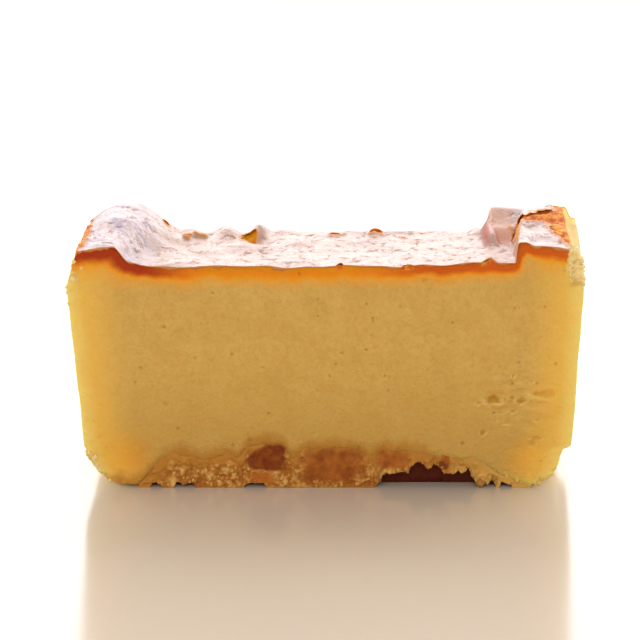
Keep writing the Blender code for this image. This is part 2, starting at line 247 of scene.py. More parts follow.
@dataclass(frozen=True)
class SliceForm:
    """The form of the whole slice, which its pieces share."""

    front_width: float = 84.0
    flare: float = 1.4
    depth: float = 22.0
    left_skin: Skin = Skin(34.3, 0.077, 1.6, 1.2, 9.5, 8.6, 2.3)
    right_skin: Skin = Skin(33.0, 0.045, 0.9, 3.0, 9.0, 7.6, 2.1)
    unevenness: float = 0.16
    uneven_length: float = 6.0
    calm_height: float = 4.0
    nick_top: float = 7.4
    nick_soft: float = 0.9
    nick_in: float = 1.3
    nick_share_below: float = 0.45
    level: float = 38.0
    rise_to_right: float = 0.65
    rise_span: tuple[float, float] = (9.0, 23.0)
    rise_fade: float = 0.7
    left_crest: tuple[float, float] = (-35.1, -33.6)
    left_foot: tuple[float, float] = (-32.6, -23.8)
    left_rise: tuple[float, float] = (3.2, 5.2)
    left_tail: tuple[float, float] = (0.30, 4.5)
    left_fall: tuple[float, float] = (1.0, 5.2)
    left_brow: float = 4.0
    left_grows: tuple[float, float] = (0.0, 0.9)
    left_foot_moves: tuple[float, float] = (0.05, 0.75)
    right_edge: float = 30.3
    right_step: float = 0.5
    right_edge_lean: float = 1.4
    right_step_spread: float = 2.2
    inner_edge: float = 26.8
    inner_step: float = 1.4
    inner_span: tuple[float, float] = (0.62, 0.76)
    inner_low: float = 0.55
    buttress: Triple = (2.1, 27.1, 1.5)
    buttress_span: tuple[float, float] = (0.42, 0.62)
    right_rise: tuple[float, float] = (3.4, 4.1)
    right_dip: float = 0.9
    right_dip_span: tuple[float, float] = (1.2, 3.2)
    right_peak: Triple = (0.4, 37.6, 4.2)
    right_fall: tuple[float, float] = (0.9, 1.9)
    right_fall_from: tuple[float, float] = (38.2, 39.9)
    right_fall_reach: tuple[float, float] = (2.6, 1.2)
    wrinkle: tuple[float, float] = (0.30, 5.2)
    wrinkle_stretch: float = 1.4
    blisters: tuple[Spot, ...] = (
        Spot(-23.4, 0.93, 0.9, 2.4, 0.22),
        Spot(-17.4, 0.96, 1.0, 2.6, 0.24),
        Spot(-11.8, 0.93, 1.8, 2.3, 0.17),
        Spot(7.7, 0.96, 0.8, 1.9, 0.14),
        Spot(24.9, 0.93, 0.7, 1.5, 0.16),
        Spot(26.1, 0.02, 0.7, 1.2, 0.07),
        Spot(-12.6, 0.74, -0.9, 1.5, 0.10),
    )
    base_ends: tuple[float, float] = (-31.6, 33.4)
    base_level: float = 5.3
    base_edge: float = 0.5
    base_wave: tuple[float, float] = (0.55, 4.3)
    base_left_rise: tuple[float, float] = (-0.7, 4.6)
    base_right_fall: tuple[float, float] = (-12.0, 0.7)
    foot_gap: float = 0.5
    chunks: tuple[Chunk, ...] = (
        Chunk(-10.6, 7.6, 2.9, 6.6, 0.24, 0.60, 0.15),
        Chunk(0.5, 6.8, 0.9, 10.0, 0.50, 0.10, 0.30),
        Chunk(10.4, 6.5, 3.2, 5.2, 0.58, 0.00, 0.36),
        Chunk(19.1, 5.6, 3.1, 1.5, 0.42, 0.00, 0.20),
        Chunk(-11.2, 3.0, 0.5, 4.2, 0.70, 0.00, 0.45),
        Chunk(-16.0, 5.0, 1.6, 5.0, 0.35, 0.20, 0.12, False),
        Chunk(4.5, 5.0, 2.0, 4.0, 0.55, 0.00, 0.20, False),
        Chunk(15.0, 4.8, 1.2, 6.5, 0.25, 0.10, 0.15, False),
    )
    chunk_fade: tuple[float, float] = (2.4, 11.0)
    chunk_flank: tuple[float, float] = (-0.6, 1.4)
    gaps: tuple[Gap, ...] = (
        Gap(7.6, 14.0, 2.4, 0.10),
        Gap(12.3, 19.8, 3.9, 0.11),
        Gap(16.8, 24.7, 2.8, 0.10),
        Gap(25.2, 27.6, 0.9, 0.06),
        Gap(28.2, 30.4, 0.8, 0.05),
        Gap(-29.8, -27.6, 0.8, 0.05),
        Gap(-26.0, -22.2, 0.7, 0.06),
        Gap(-14.4, -10.2, 0.7, 0.06),
    )
    gap_arch: float = 0.35
    gap_end: tuple[float, float] = (0.6, 1.0)
    gap_wave: tuple[float, float] = (0.18, 1.3)
    break_from: tuple[float, float] = (38.5, 35.0)
    break_spread: tuple[float, float] = (0.7, 1.6)
    break_wave: tuple[float, float] = (0.25, 0.8)
    break_lump: float = 1.1
    break_depth: float = 2.3
    break_reach: float = 3.6

    @property
    def left_side(self) -> float:
        """The x of the left skin's widest line."""
        return -(self.front_width + self.flare) / 2

    @property
    def right_side(self) -> float:
        """The x of the right skin's widest line at the front cut."""
        return self.left_side + self.front_width

    def y(self, share: Array | float) -> Array | float:
        """The y of a share of the depth."""
        return (share - 0.5) * self.depth

    def share(self, y: Array | float) -> Array | float:
        """The share of the depth at y."""
        return y / self.depth + 0.5

    def left_rim(self, x: Array, share: Array) -> Array:
        """Rise of the left rim: a ledge with a steep step at the front, a broad dome at the back.

        Args:
            x: each point's x.
            share: each point's depth share.

        Returns:
            One height for each point, which falls below 0 outside the rim's crest.
        """
        late = ease(*self.left_grows, share)
        crest = blend(*self.left_crest, late)
        foot = blend(*self.left_foot, ease(*self.left_foot_moves, share))
        rise = blend(*self.left_rise, late)
        outward = np.clip(crest - x, 0, None) / (crest - self.left_side)
        fall = blend(*self.left_fall, late) * outward**2 + self.left_brow * late * outward**8
        tail, reach = self.left_tail[0] * (1 - late), self.left_tail[1]
        step = (1 - tail) * ease(0.0, 1.0, (x - crest) / (foot - crest))
        step = step + tail * ease(0.0, 1.0, (x - crest) / (foot + reach - crest))
        return rise * (1 - step) - fall

    def right_rim(self, x: Array, share: Array) -> Array:
        """Rise of the right rim: an upright block by the skin, and behind it one that reaches inwards.

        Args:
            x: each point's x.
            share: each point's depth share.

        Returns:
            One height for each point.
        """
        dip = self.right_dip * ease(*self.right_dip_span, x - self.right_edge) * (1 - share)
        peak = self.right_peak[0] * hump(x, *self.right_peak[1:]) * share
        past = (x - blend(*self.right_fall_from, share)) / blend(*self.right_fall_reach, share)
        fall = blend(*self.right_fall, share) * ease(0.0, 1.0, past)
        rise = blend(*self.right_rise, share) - dip + peak - fall
        aside = x - self.right_edge - self.right_edge_lean * share
        outer = rise * ease(-0.5, 0.5, aside / (self.right_step + self.right_step_spread * share))
        inner = rise * ease(-self.inner_step / 2, self.inner_step / 2, x - self.inner_edge)
        full = blend(self.inner_low, 1.0, ease(self.inner_span[1], 1.0, share))
        inner = inner * ease(*self.inner_span, share) * full
        buttress = self.buttress[0] * hump(x, *self.buttress[1:]) * ease(*self.buttress_span, share)
        return largest([outer, inner, buttress])

    def crust(self, x: Array, share: Array) -> Array:
        """Height of the crust.

        Args:
            x: each point's x.
            share: each point's depth share.

        Returns:
            One height for each point.
        """
        rise = self.rise_to_right * ease(*self.rise_span, x) * (1 - self.rise_fade * share)
        height, length = self.wrinkle
        wrinkle = height * rough(x, self.y(share) * self.wrinkle_stretch, 3.7, length)
        spots = sum(spot.rise(x, share) for spot in self.blisters)
        return self.level + rise + self.left_rim(x, share) + self.right_rim(x, share) + spots + wrinkle

    def left_x(self, z: Array, share: Array, top: Array) -> Array:
        """The x of the left skin.

        Args:
            z: each point's height.
            share: each point's depth share.
            top: height of the crust above each point.

        Returns:
            One x for each point.
        """
        uneven = self.unevenness * (1 + rough(z, self.y(share), 11.0, self.uneven_length)) / 2
        calm = ease(0.0, self.calm_height, np.abs(z - self.left_skin.widest_height))
        return self.left_side + self.left_skin.inset(z, top) + uneven * calm

    def right_x(self, z: Array, share: Array, top: Array) -> Array:
        """The x of the right skin, which flares outwards towards the back and steps in over its foot.

        Args:
            z: each point's height.
            share: each point's depth share.
            top: height of the crust above each point.

        Returns:
            One x for each point.
        """
        uneven = self.unevenness * (1 + rough(z, self.y(share), 23.0, self.uneven_length)) / 2
        calm = ease(0.0, self.calm_height, np.abs(z - self.right_skin.widest_height))
        below = blend(self.nick_share_below, 1.0, z / self.nick_top)
        nick = self.nick_in * (1 - ease(self.nick_top - self.nick_soft, self.nick_top, z)) * below
        return self.right_side + self.flare * share - nick - self.right_skin.inset(z, top) - uneven * calm

    def base(self, x: Array, share: Array) -> Array:
        """Height of the top of the crumb base.

        Args:
            x: each point's x.
            share: each point's depth share.

        Returns:
            One height for each point.
        """
        height, length = self.base_wave
        level = self.base_level + height * rough(x, self.y(share), 31.0, length)
        left = ease(*(self.base_ends[0] + reach for reach in self.base_left_rise), x)
        right = 1 - ease(*(self.base_ends[1] + reach for reach in self.base_right_fall), x)
        fade = 1 - ease(*self.chunk_fade, share * self.depth)
        lift = np.zeros_like(x + share)
        for chunk in self.chunks:
            if chunk.front:
                flank = 1 - ease(*self.chunk_flank, np.abs(x - chunk.x) - chunk.wide / 2)
                lift = np.maximum(lift, (chunk.top - self.base_level) * flank)
        return self.base_edge + (level - self.base_edge) * left * right + lift * fade

    def floor(self, x: Array, share: Array) -> Array:
        """Height of the base's underside: on the table, except where it has crumbled away.

        Args:
            x: each point's x.
            share: each point's depth share.

        Returns:
            One height for each point.
        """
        height = np.zeros_like(x + share)
        for gap in self.gaps:
            middle, half = (gap.left + gap.right) / 2, (gap.right - gap.left) / 2
            arch = ease(0.0, self.gap_arch, 1 - np.abs(x - middle) / half)
            height = np.maximum(height, gap.height * arch * (1 - ease(*self.gap_end, share / gap.share)))
        amount, length = self.gap_wave
        ragged = 1 + amount * rough(x, self.y(share), 47.0, length)
        return np.clip(np.minimum(height * ragged, self.base(x, share) - 2 * self.base_edge), 0.0, None)

    def underside(self, x: Array, share: Array) -> Array:
        """Height of the custard's underside, which lies on the base and reaches lower past its ends."""
        inside = (x >= self.base_ends[0]) & (x <= self.base_ends[1])
        return np.where(inside, self.base(x, share), self.foot_gap)

    def broken(self, x: Array, z: Array) -> Array:
        """Where the upper right corner of the front cut has broken away.

        Args:
            x: each point's x.
            z: each point's height.

        Returns:
            1 where it is gone, 0 where the cut is whole.
        """
        (from_x, from_z), (spread_x, spread_z) = self.break_from, self.break_spread
        wave_x, wave_z = self.break_wave
        ragged = rough(x, z, 71.0, self.break_lump)
        aside = ease(from_x, from_x + spread_x, x + wave_x * ragged)
        return aside * ease(from_z, from_z + spread_z, z + wave_z * ragged)

    def pushed(self, points: Array) -> Array:
        """Moves points back where the front corner has broken away.

        Args:
            points: one row for each point.

        Returns:
            The moved points.
        """
        near = np.clip(1 - (points[:, 1] + self.depth / 2) / self.break_reach, 0, 1)
        back = self.break_depth * near * self.broken(points[:, 0], points[:, 2])
        return points + back[:, None] * (0.0, 1.0, 0.0)


FORM = SliceForm()


@dataclass
class Patchwork:
    """A closed body made of six curved grids that meet at a box's edges.

    The four walls of its cross-section are given as functions of a share along the wall and the depth share.
    """

    across: int
    deep: int
    tall: int
    top: Callable[[Array, Array], Walls]
    under: Callable[[Array, Array], Walls]
    left: Callable[[Array, Array], Walls]
    right: Callable[[Array, Array], Walls]

    def _wall(self, wall: Callable[[Array, Array], Walls], count: int) -> Array:
        """Points of one wall.

        Args:
            wall: gives x and z from the share along the wall and the depth share.
            count: the number of faces along it.

        Returns:
            A grid of depth by count.
        """
        along, share = np.meshgrid(np.linspace(0, 1, count + 1), np.linspace(0, 1, self.deep + 1))
        x, z = wall(along, share)
        return np.stack([x, FORM.y(share), z], axis=-1)

    @staticmethod
    def _cap(top: Array, under: Array, left: Array, right: Array) -> Array:
        """Fills the loop of four edges with a smooth grid.

        Args:
            top: points of the top edge.
            under: points of the lower edge.
            left: points of the left edge, upwards.
            right: points of the right edge, upwards.

        Returns:
            A grid of tall by across.
        """
        u = np.linspace(0, 1, len(top))[None, :, None]
        w = np.linspace(0, 1, len(left))[:, None, None]
        edges = (1 - w) * under[None] + w * top[None] + (1 - u) * left[:, None] + u * right[:, None]
        low = (1 - u) * under[0] + u * under[-1]
        high = (1 - u) * top[0] + u * top[-1]
        return edges - (1 - w) * low - w * high

    def build(self, name: str) -> Thing:
        """Makes the body's object, welded and facing outwards.

        Args:
            name: the object's name.

        Returns:
            The new object, in metres.
        """
        top, under = self._wall(self.top, self.across), self._wall(self.under, self.across)
        left, right = self._wall(self.left, self.tall), self._wall(self.right, self.tall)
        caps = [self._cap(top[i], under[i], left[i], right[i]) for i in (0, -1)]
        points, faces, start = [], [], 0
        for grid in (top, under, left, right, *caps):
            points.append(grid.reshape(-1, 3))
            faces.append(start + grid_faces(*grid.shape[:2]))
            start += len(points[-1])
        return mesh_object(name, np.concatenate(points), np.concatenate(faces), weld=True)


def grid_faces(rows: int, columns: int, flip: bool = False) -> Array:
    """Joins a grid of points with quads.

    Args:
        rows: the number of rows of points.
        columns: the number of columns of points.
        flip: turns the faces the other way round.

    Returns:
        One row of four indices for each face.
    """
    index = np.arange(rows * columns).reshape(rows, columns)
    corners = [index[:-1, :-1], index[1:, :-1], index[1:, 1:], index[:-1, 1:]]
    if flip:
        corners[1], corners[3] = corners[3], corners[1]
    return np.stack(corners, axis=-1).reshape(-1, 4)


def mesh_object(name: str, points: Array, faces: Array, weld: bool = False) -> Thing:
    """Makes a mesh object from points in millimetres.

    Args:
        name: the object's name.
        points: one row for each vertex.
        faces: one row of vertex indices for each face.
        weld: merges vertices that coincide and turns the faces outwards.

    Returns:
        The new object, linked to the scene.
    """
    mesh = bpy.data.meshes.new(name)
    mesh.from_pydata((points * MM).tolist(), [], faces.tolist())
    if weld:
        body = bmesh.new()
        body.from_mesh(mesh)
        bmesh.ops.remove_doubles(body, verts=body.verts, dist=0.002 * MM)
        bmesh.ops.recalc_face_normals(body, faces=body.faces)
        body.to_mesh(mesh)
        body.free()
    made = bpy.data.objects.new(name, mesh)
    bpy.context.scene.collection.objects.link(made)
    return made


def points_of(thing: Thing) -> Array:
    """Reads the vertices of an object.

    Args:
        thing: the object.

    Returns:
        One row for each vertex, in millimetres.
    """
    flat = np.empty(len(thing.data.vertices) * 3)
    thing.data.vertices.foreach_get("co", flat)
    return flat.reshape(-1, 3) / MM


def move_points(thing: Thing, points: Array) -> None:
    """Sets an object's vertices from millimetres."""
    thing.data.vertices.foreach_set("co", (points * MM).ravel())
    thing.data.update()


def paint(thing: Thing, name: str, values: Array) -> None:
    """Stores one number for each vertex, for materials and node trees to read."""
    layer = thing.data.attributes.get(name) or thing.data.attributes.new(name, "FLOAT", "POINT")
    layer.data.foreach_set("value", np.asarray(values, dtype=np.float32))


Inputs = dict[str, tuple[Kind, Any]]  # each input's name, kind and default


class Draw(Enum):
    """Kinds of random value: the node's own word, and the place of its output."""

    VECTOR = ("FLOAT_VECTOR", 0)
    NUMBER = ("FLOAT", 1)
    WHOLE = ("INT", 2)


class Tree:
    """A node tree under construction, for Geometry Nodes, a material or a shader group."""

    owner: Material
    shader: bpy.types.Node
    entry: Outputs

    def __init__(self, nodes_owner: bpy.types.NodeTree) -> None:
        """Wraps a tree whose nodes are to be made."""
        self.tree = nodes_owner

    @classmethod
    def group(cls, name: str, inputs: Inputs, outputs: dict[str, Kind], kind: str = "ShaderNodeTree") -> "Tree":
        """Starts a group with named inputs and outputs.

        Args:
            name: the group's name.
            inputs: each input's name, kind and default.
            outputs: each output's name and kind.
            kind: the kind of tree.

        Returns:
            The new group, with its group input as `entry`.
        """
        made = cls(bpy.data.node_groups.new(name, kind))
        for title, socket_kind in outputs.items():
            made.tree.interface.new_socket(title, in_out="OUTPUT", socket_type=socket_kind.value)
        for title, (socket_kind, default) in inputs.items():
            socket = made.tree.interface.new_socket(title, in_out="INPUT", socket_type=socket_kind.value)
            if default is not None:
                socket.default_value = default
        made.entry = made.tree.nodes.new("NodeGroupInput").outputs
        return made

    @classmethod
    def geometry(cls, name: str, inputs: Inputs) -> "Tree":
        """Starts a Geometry Nodes tree with a shape in, a shape out and named sizes."""
        inputs = {"Shape": (Kind.SHAPE, None), **inputs}
        return cls.group(name, inputs, {"Shape": Kind.SHAPE}, "GeometryNodeTree")

    @classmethod
    def material(cls, name: str) -> "Tree":
        """Starts a material.

        Args:
            name: the material's name.

        Returns:
            The new tree, with its material as `owner` and the Principled BSDF as `shader`.
        """
        material = bpy.data.materials.new(name)
        material.use_nodes = True
        made = cls(material.node_tree)
        made.owner = material
        made.shader = material.node_tree.nodes["Principled BSDF"]
        return made

    def add(self, kind: str, settings: dict[str, Any] | None = None, **sockets: Any) -> Outputs:
        """Adds a node.

        Args:
            kind: the node's type.
            settings: properties of the node itself.
            sockets: values or outputs for its inputs, by name with _ for a space, or by _N for the Nth input.

        Returns:
            The node's outputs.
        """
        node = self.tree.nodes.new(kind)
        for key, value in (settings or {}).items():
            setattr(node, key, value)
        for key, value in sockets.items():
            place = node.inputs[int(key[1:])] if key[0] == "_" else node.inputs[key.replace("_", " ")]
            self.put(place, value)
        return node.outputs

    def put(self, place: Socket, value: Any) -> None:
        """Fills a socket.

        Args:
            place: the socket.
            value: an output to link to it, or the socket's own value.
        """
        if isinstance(value, Socket):
            self.tree.links.new(value, place)
        else:
            place.default_value = value

    def dress(self, **sockets: Any) -> Material:
        """Fills the shader's sockets and ends the material.

        Args:
            sockets: values or outputs, by the socket's name with _ for a space.

        Returns:
            The material.
        """
        for key, value in sockets.items():
            self.put(self.shader.inputs[key.replace("_", " ")], value)
        return self.owner

    def math(self, operation: str, *values: Any, clamp: bool = False) -> Socket:
        """A number from one arithmetic step."""
        sockets = {f"_{i}": value for i, value in enumerate(values)}
        return self.add("ShaderNodeMath", {"operation": operation, "use_clamp": clamp}, **sockets)[0]

    def less(self, first: Any, second: Any, clamp: bool = False) -> Socket:
        """The first number less the second."""
        return self.math("SUBTRACT", first, second, clamp=clamp)

    def times(self, *values: Any) -> Socket:
        """The product of two or more numbers."""
        return reduce(lambda first, second: self.math("MULTIPLY", first, second), values)

    def most(self, *values: Any) -> Socket:
        """The largest of two or more numbers."""
        return reduce(lambda first, second: self.math("MAXIMUM", first, second), values)

    def random(self, draw: Draw, seed: Any, **sockets: Any) -> Socket:
        """A random value for each element."""
        kind, place = draw.value
        return self.add("FunctionNodeRandomValue", {"data_type": kind}, **sockets, Seed=seed)[place]

    def summed(self, parts: Iterable[tuple[Any, Any]]) -> Socket:
        """The sum of products of two numbers each."""
        return reduce(lambda so_far, part: self.math("MULTIPLY_ADD", *part, so_far), parts, 0.0)

    def vector(self, operation: str, *values: Any) -> Socket:
        """A vector from one arithmetic step."""
        sockets = {("Scale" if operation == "SCALE" and i == 1 else f"_{i}"): v for i, v in enumerate(values)}
        return self.add("ShaderNodeVectorMath", {"operation": operation}, **sockets)[0]

    def xyz(self, place: Any) -> Outputs:
        """The three coordinates of a point."""
        return self.add("ShaderNodeSeparateXYZ", None, Vector=place)

    def spread(
        self, value: Any, low: Any, high: Any, at_low: Any = 0.0, at_high: Any = 1.0
    ) -> Socket:
        """Maps a number smoothly from one range to another and holds it there."""
        settings = {"interpolation_type": "SMOOTHSTEP"}
        return self.add("ShaderNodeMapRange", settings, _0=value, _1=low, _2=high, _3=at_low, _4=at_high)[0]

    def noise(self, place: Any, scale: Any, detail: float = 3.0, rough: float = 0.55) -> Socket:
        """Cloudy noise from 0 to 1."""
        sockets = {"Vector": place, "Scale": scale, "Detail": detail, "Roughness": rough}
        return self.add("ShaderNodeTexNoise", None, **sockets)[0]

    def ridges(self, place: Any, scale: Any, detail: float, rough: float) -> Socket:
        """Noise folded at its middle, so that it is 0 along lines."""
        return self.math("ABSOLUTE", self.less(self.noise(place, scale, detail, rough), 0.5))

    def cells(self, place: Any, scale: Any, feature: str = "F1") -> Outputs:
        """Cell noise."""
        settings = {"feature": feature}
        return self.add("ShaderNodeTexVoronoi", settings, Vector=place, Scale=scale, Randomness=1.0)

    def shaken(self, place: Any, scale: float, detail: float, reach: float) -> Socket:
        """Moves a point about, so that a pattern read there is less regular.

        Args:
            place: the point.
            scale: scale of the noise that moves it.
            detail: detail of that noise.
            reach: how far the noise's whole range moves it, in metres.

        Returns:
            The moved point.
        """
        warp = self.add("ShaderNodeTexNoise", None, Vector=place, Scale=scale, Detail=detail)["Color"]
        around = self.vector("SUBTRACT", warp, (0.5, 0.5, 0.5))
        return self.vector("ADD", place, self.vector("SCALE", around, reach))

    def mix(self, factor: Any, first: Any, second: Any) -> Socket:
        """Mixes two colours.

        Args:
            factor: the share of the second, from 0 to 1.
            first: a colour or an output.
            second: a colour or an output.

        Returns:
            The mixed colour.
        """
        node = self.tree.nodes.new("ShaderNodeMix")
        node.data_type, node.clamp_factor = "RGBA", True
        for place, value in ((0, factor), (6, first), (7, second)):
            self.put(node.inputs[place], (*value, 1.0) if isinstance(value, tuple) else value)
        return node.outputs[2]

    def layered(self, ground: Any, *layers: tuple[Any, Any]) -> Socket:
        """Lays colours over a ground in order, each by its mask: a mask and a colour make a layer."""
        return reduce(lambda below, layer: self.mix(layer[0], below, layer[1]), layers, ground)

    def ramp(self, value: Any, stops: tuple[tuple[float, Colour], ...]) -> Socket:
        """Picks a colour from a smooth ramp.

        Args:
            value: the place on the ramp.
            stops: each stop's place and colour.

        Returns:
            The colour.
        """
        node = self.tree.nodes.new("ShaderNodeValToRGB")
        node.color_ramp.interpolation = "EASE"
        marks = node.color_ramp.elements
        while len(marks) < len(stops):
            marks.new(0.5)
        for mark, (place, colour) in zip(marks, stops):
            mark.position, mark.color = place, (*colour, 1.0)
        self.put(node.inputs[0], value)
        return node.outputs[0]

    def painted(self, name: str) -> Socket:
        """Reads a number painted on the mesh.

        Args:
            name: the name it was painted under.

        Returns:
            The number.
        """
        if self.tree.type == "GEOMETRY":
            return self.add("GeometryNodeInputNamedAttribute", {"data_type": "FLOAT"}, Name=name)[0]
        return self.add("ShaderNodeAttribute", {"attribute_name": name})["Fac"]

    def place(self) -> Socket:
        """The point on the piece.

        Returns:
            Its coordinates in metres.
        """
        if self.tree.type == "GEOMETRY":
            return self.add("GeometryNodeInputPosition")[0]
        return self.add("ShaderNodeTexCoord")["Object"]

    def bump(self, height: Any, distance: float, strength: float, below: Any = None) -> Socket:
        """A normal from a height.

        Args:
            height: the height, from 0 to 1.
            distance: how far that is, in metres.
            strength: how much of it counts.
            below: the normal of a finer relief that this one is added to, if any.

        Returns:
            The normal.
        """
        sockets = {"Height": height, "Distance": distance, "Strength": strength}
        if below is not None:
            sockets["Normal"] = below
        return self.add("ShaderNodeBump", None, **sockets)[0]

    def group_node(self, group: "Tree", **sockets: Any) -> Outputs:
        """Places a shared group.

        Args:
            group: the group.
            sockets: values or outputs for its inputs.

        Returns:
            The group's outputs.
        """
        node = self.tree.nodes.new("ShaderNodeGroup")
        node.node_tree = group.tree
        for key, value in sockets.items():
            self.put(node.inputs[key], value)
        return node.outputs

    def leave(self, *values: Any) -> None:
        """Links values to the group's output.

        Args:
            values: one for each output, in order.
        """
        ending = self.tree.nodes.new("NodeGroupOutput")
        for place, value in zip(ending.inputs, values):
            self.put(place, value)

    def raised(self, shape: Any, height: Any) -> Socket:
        """A shape whose points are moved along their normals by a height."""
        offset = self.vector("SCALE", self.add("GeometryNodeInputNormal")[0], height)
        return self.add("GeometryNodeSetPosition", None, Geometry=shape, Offset=offset)[0]

    def stored(self, shape: Any, name: str, value: Any, domain: str = "POINT") -> Socket:
        """A shape that carries one more number, for its material to read."""
        store = {"data_type": "FLOAT", "domain": domain}
        return self.add("GeometryNodeStoreNamedAttribute", store, Geometry=shape, Name=name, Value=value)[0]

    def finish_shape(self, shape: Any, material: Material) -> None:
        """Ends a Geometry Nodes tree with real meshes that wear one material."""
        real = self.add("GeometryNodeRealizeInstances", None, Geometry=shape)[0]
        self.leave(self.add("GeometryNodeSetMaterial", None, Geometry=real, Material=material)[0])


def grow(thing: Thing, tree: Tree, **sizes: float) -> Thing:
    """Runs a Geometry Nodes tree on an object and keeps the result as its plain mesh.

    Args:
        thing: the object.
        tree: the tree.
        sizes: values for the tree's named inputs, with _ for a space.

    Returns:
        The same object.
    """
    modifier = thing.modifiers.new(tree.tree.name, "NODES")
    modifier.node_group = tree.tree
    for item in tree.tree.interface.items_tree:
        key = item.name.replace(" ", "_")
        if item.in_out == "INPUT" and key in sizes:
            modifier[item.identifier] = sizes[key]
    return settle(thing)


def settle(thing: Thing) -> Thing:
    """Applies an object's modifiers.

    Args:
        thing: the object.

    Returns:
        The same object, with a plain mesh.
    """
    bpy.context.view_layer.update()
    graph = bpy.context.evaluated_depsgraph_get()
    built = thing.evaluated_get(graph)
    shape = bpy.data.meshes.new_from_object(built, preserve_all_data_layers=True, depsgraph=graph)
    thing.modifiers.clear()
    shape.name = thing.name
    thing.data = shape
    return thing


def hand_over(thing: Thing, node: str | None = None) -> None:
    """Gives a finished piece to the frame.

    Args:
        thing: the piece.
        node: the solid it stands for, if any.
    """
    thing.data.shade_smooth()
    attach(thing, "root")
    if node:
        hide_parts(node)
    triangles = sum(len(face.vertices) - 2 for face in thing.data.polygons)
    LOG.info("%s: %d triangles", thing.name, triangles)


def speckle_group() -> Tree:
    """Makes the group of small pores, painted dark as shade in them: cells of which a share are pores.

    Returns:
        A group with inputs Place, Scale and Share, and output Mask.
    """
    inputs = {"Place": (Kind.VECTOR, (0, 0, 0)), "Scale": (Kind.NUMBER, 900.0), "Share": (Kind.NUMBER, 0.2)}
    group = Tree.group("pores", inputs, {"Mask": Kind.NUMBER})
    place, scale, share = group.entry[0], group.entry[1], group.entry[2]
    cell = group.cells(place, scale)
    chosen = group.add("ShaderNodeSeparateColor", None, Color=cell["Color"])[0]
    largest, smallest = 0.38, 0.15
    size = group.spread(chosen, 0.0, share, largest, smallest)
    # painted shade: each of the pores is darkest in its middle
    hollow = group.spread(cell["Distance"], 0.0, size, 1.0, 0.0)
    group.leave(group.times(hollow, group.math("LESS_THAN", chosen, share)))
    return group


def grain_group() -> Tree:
    """Makes the group of fine crumbly grain: a value from 0 to 1 and a height.

    Returns:
        A group with inputs Place and Scale, and outputs Value and Height.
    """
    inputs = {"Place": (Kind.VECTOR, (0, 0, 0)), "Scale": (Kind.NUMBER, 900.0)}
    group = Tree.group("grain", inputs, {"Value": Kind.NUMBER, "Height": Kind.NUMBER})
    place, scale = group.entry[0], group.entry[1]
    detail, roughness, cell_weight = 4.0, 0.65, -0.7
    cloud = group.noise(place, scale, detail, roughness)
    cell = group.cells(place, scale)["Distance"]
    group.leave(cloud, group.math("MULTIPLY_ADD", cell, cell_weight, cloud))
    return group


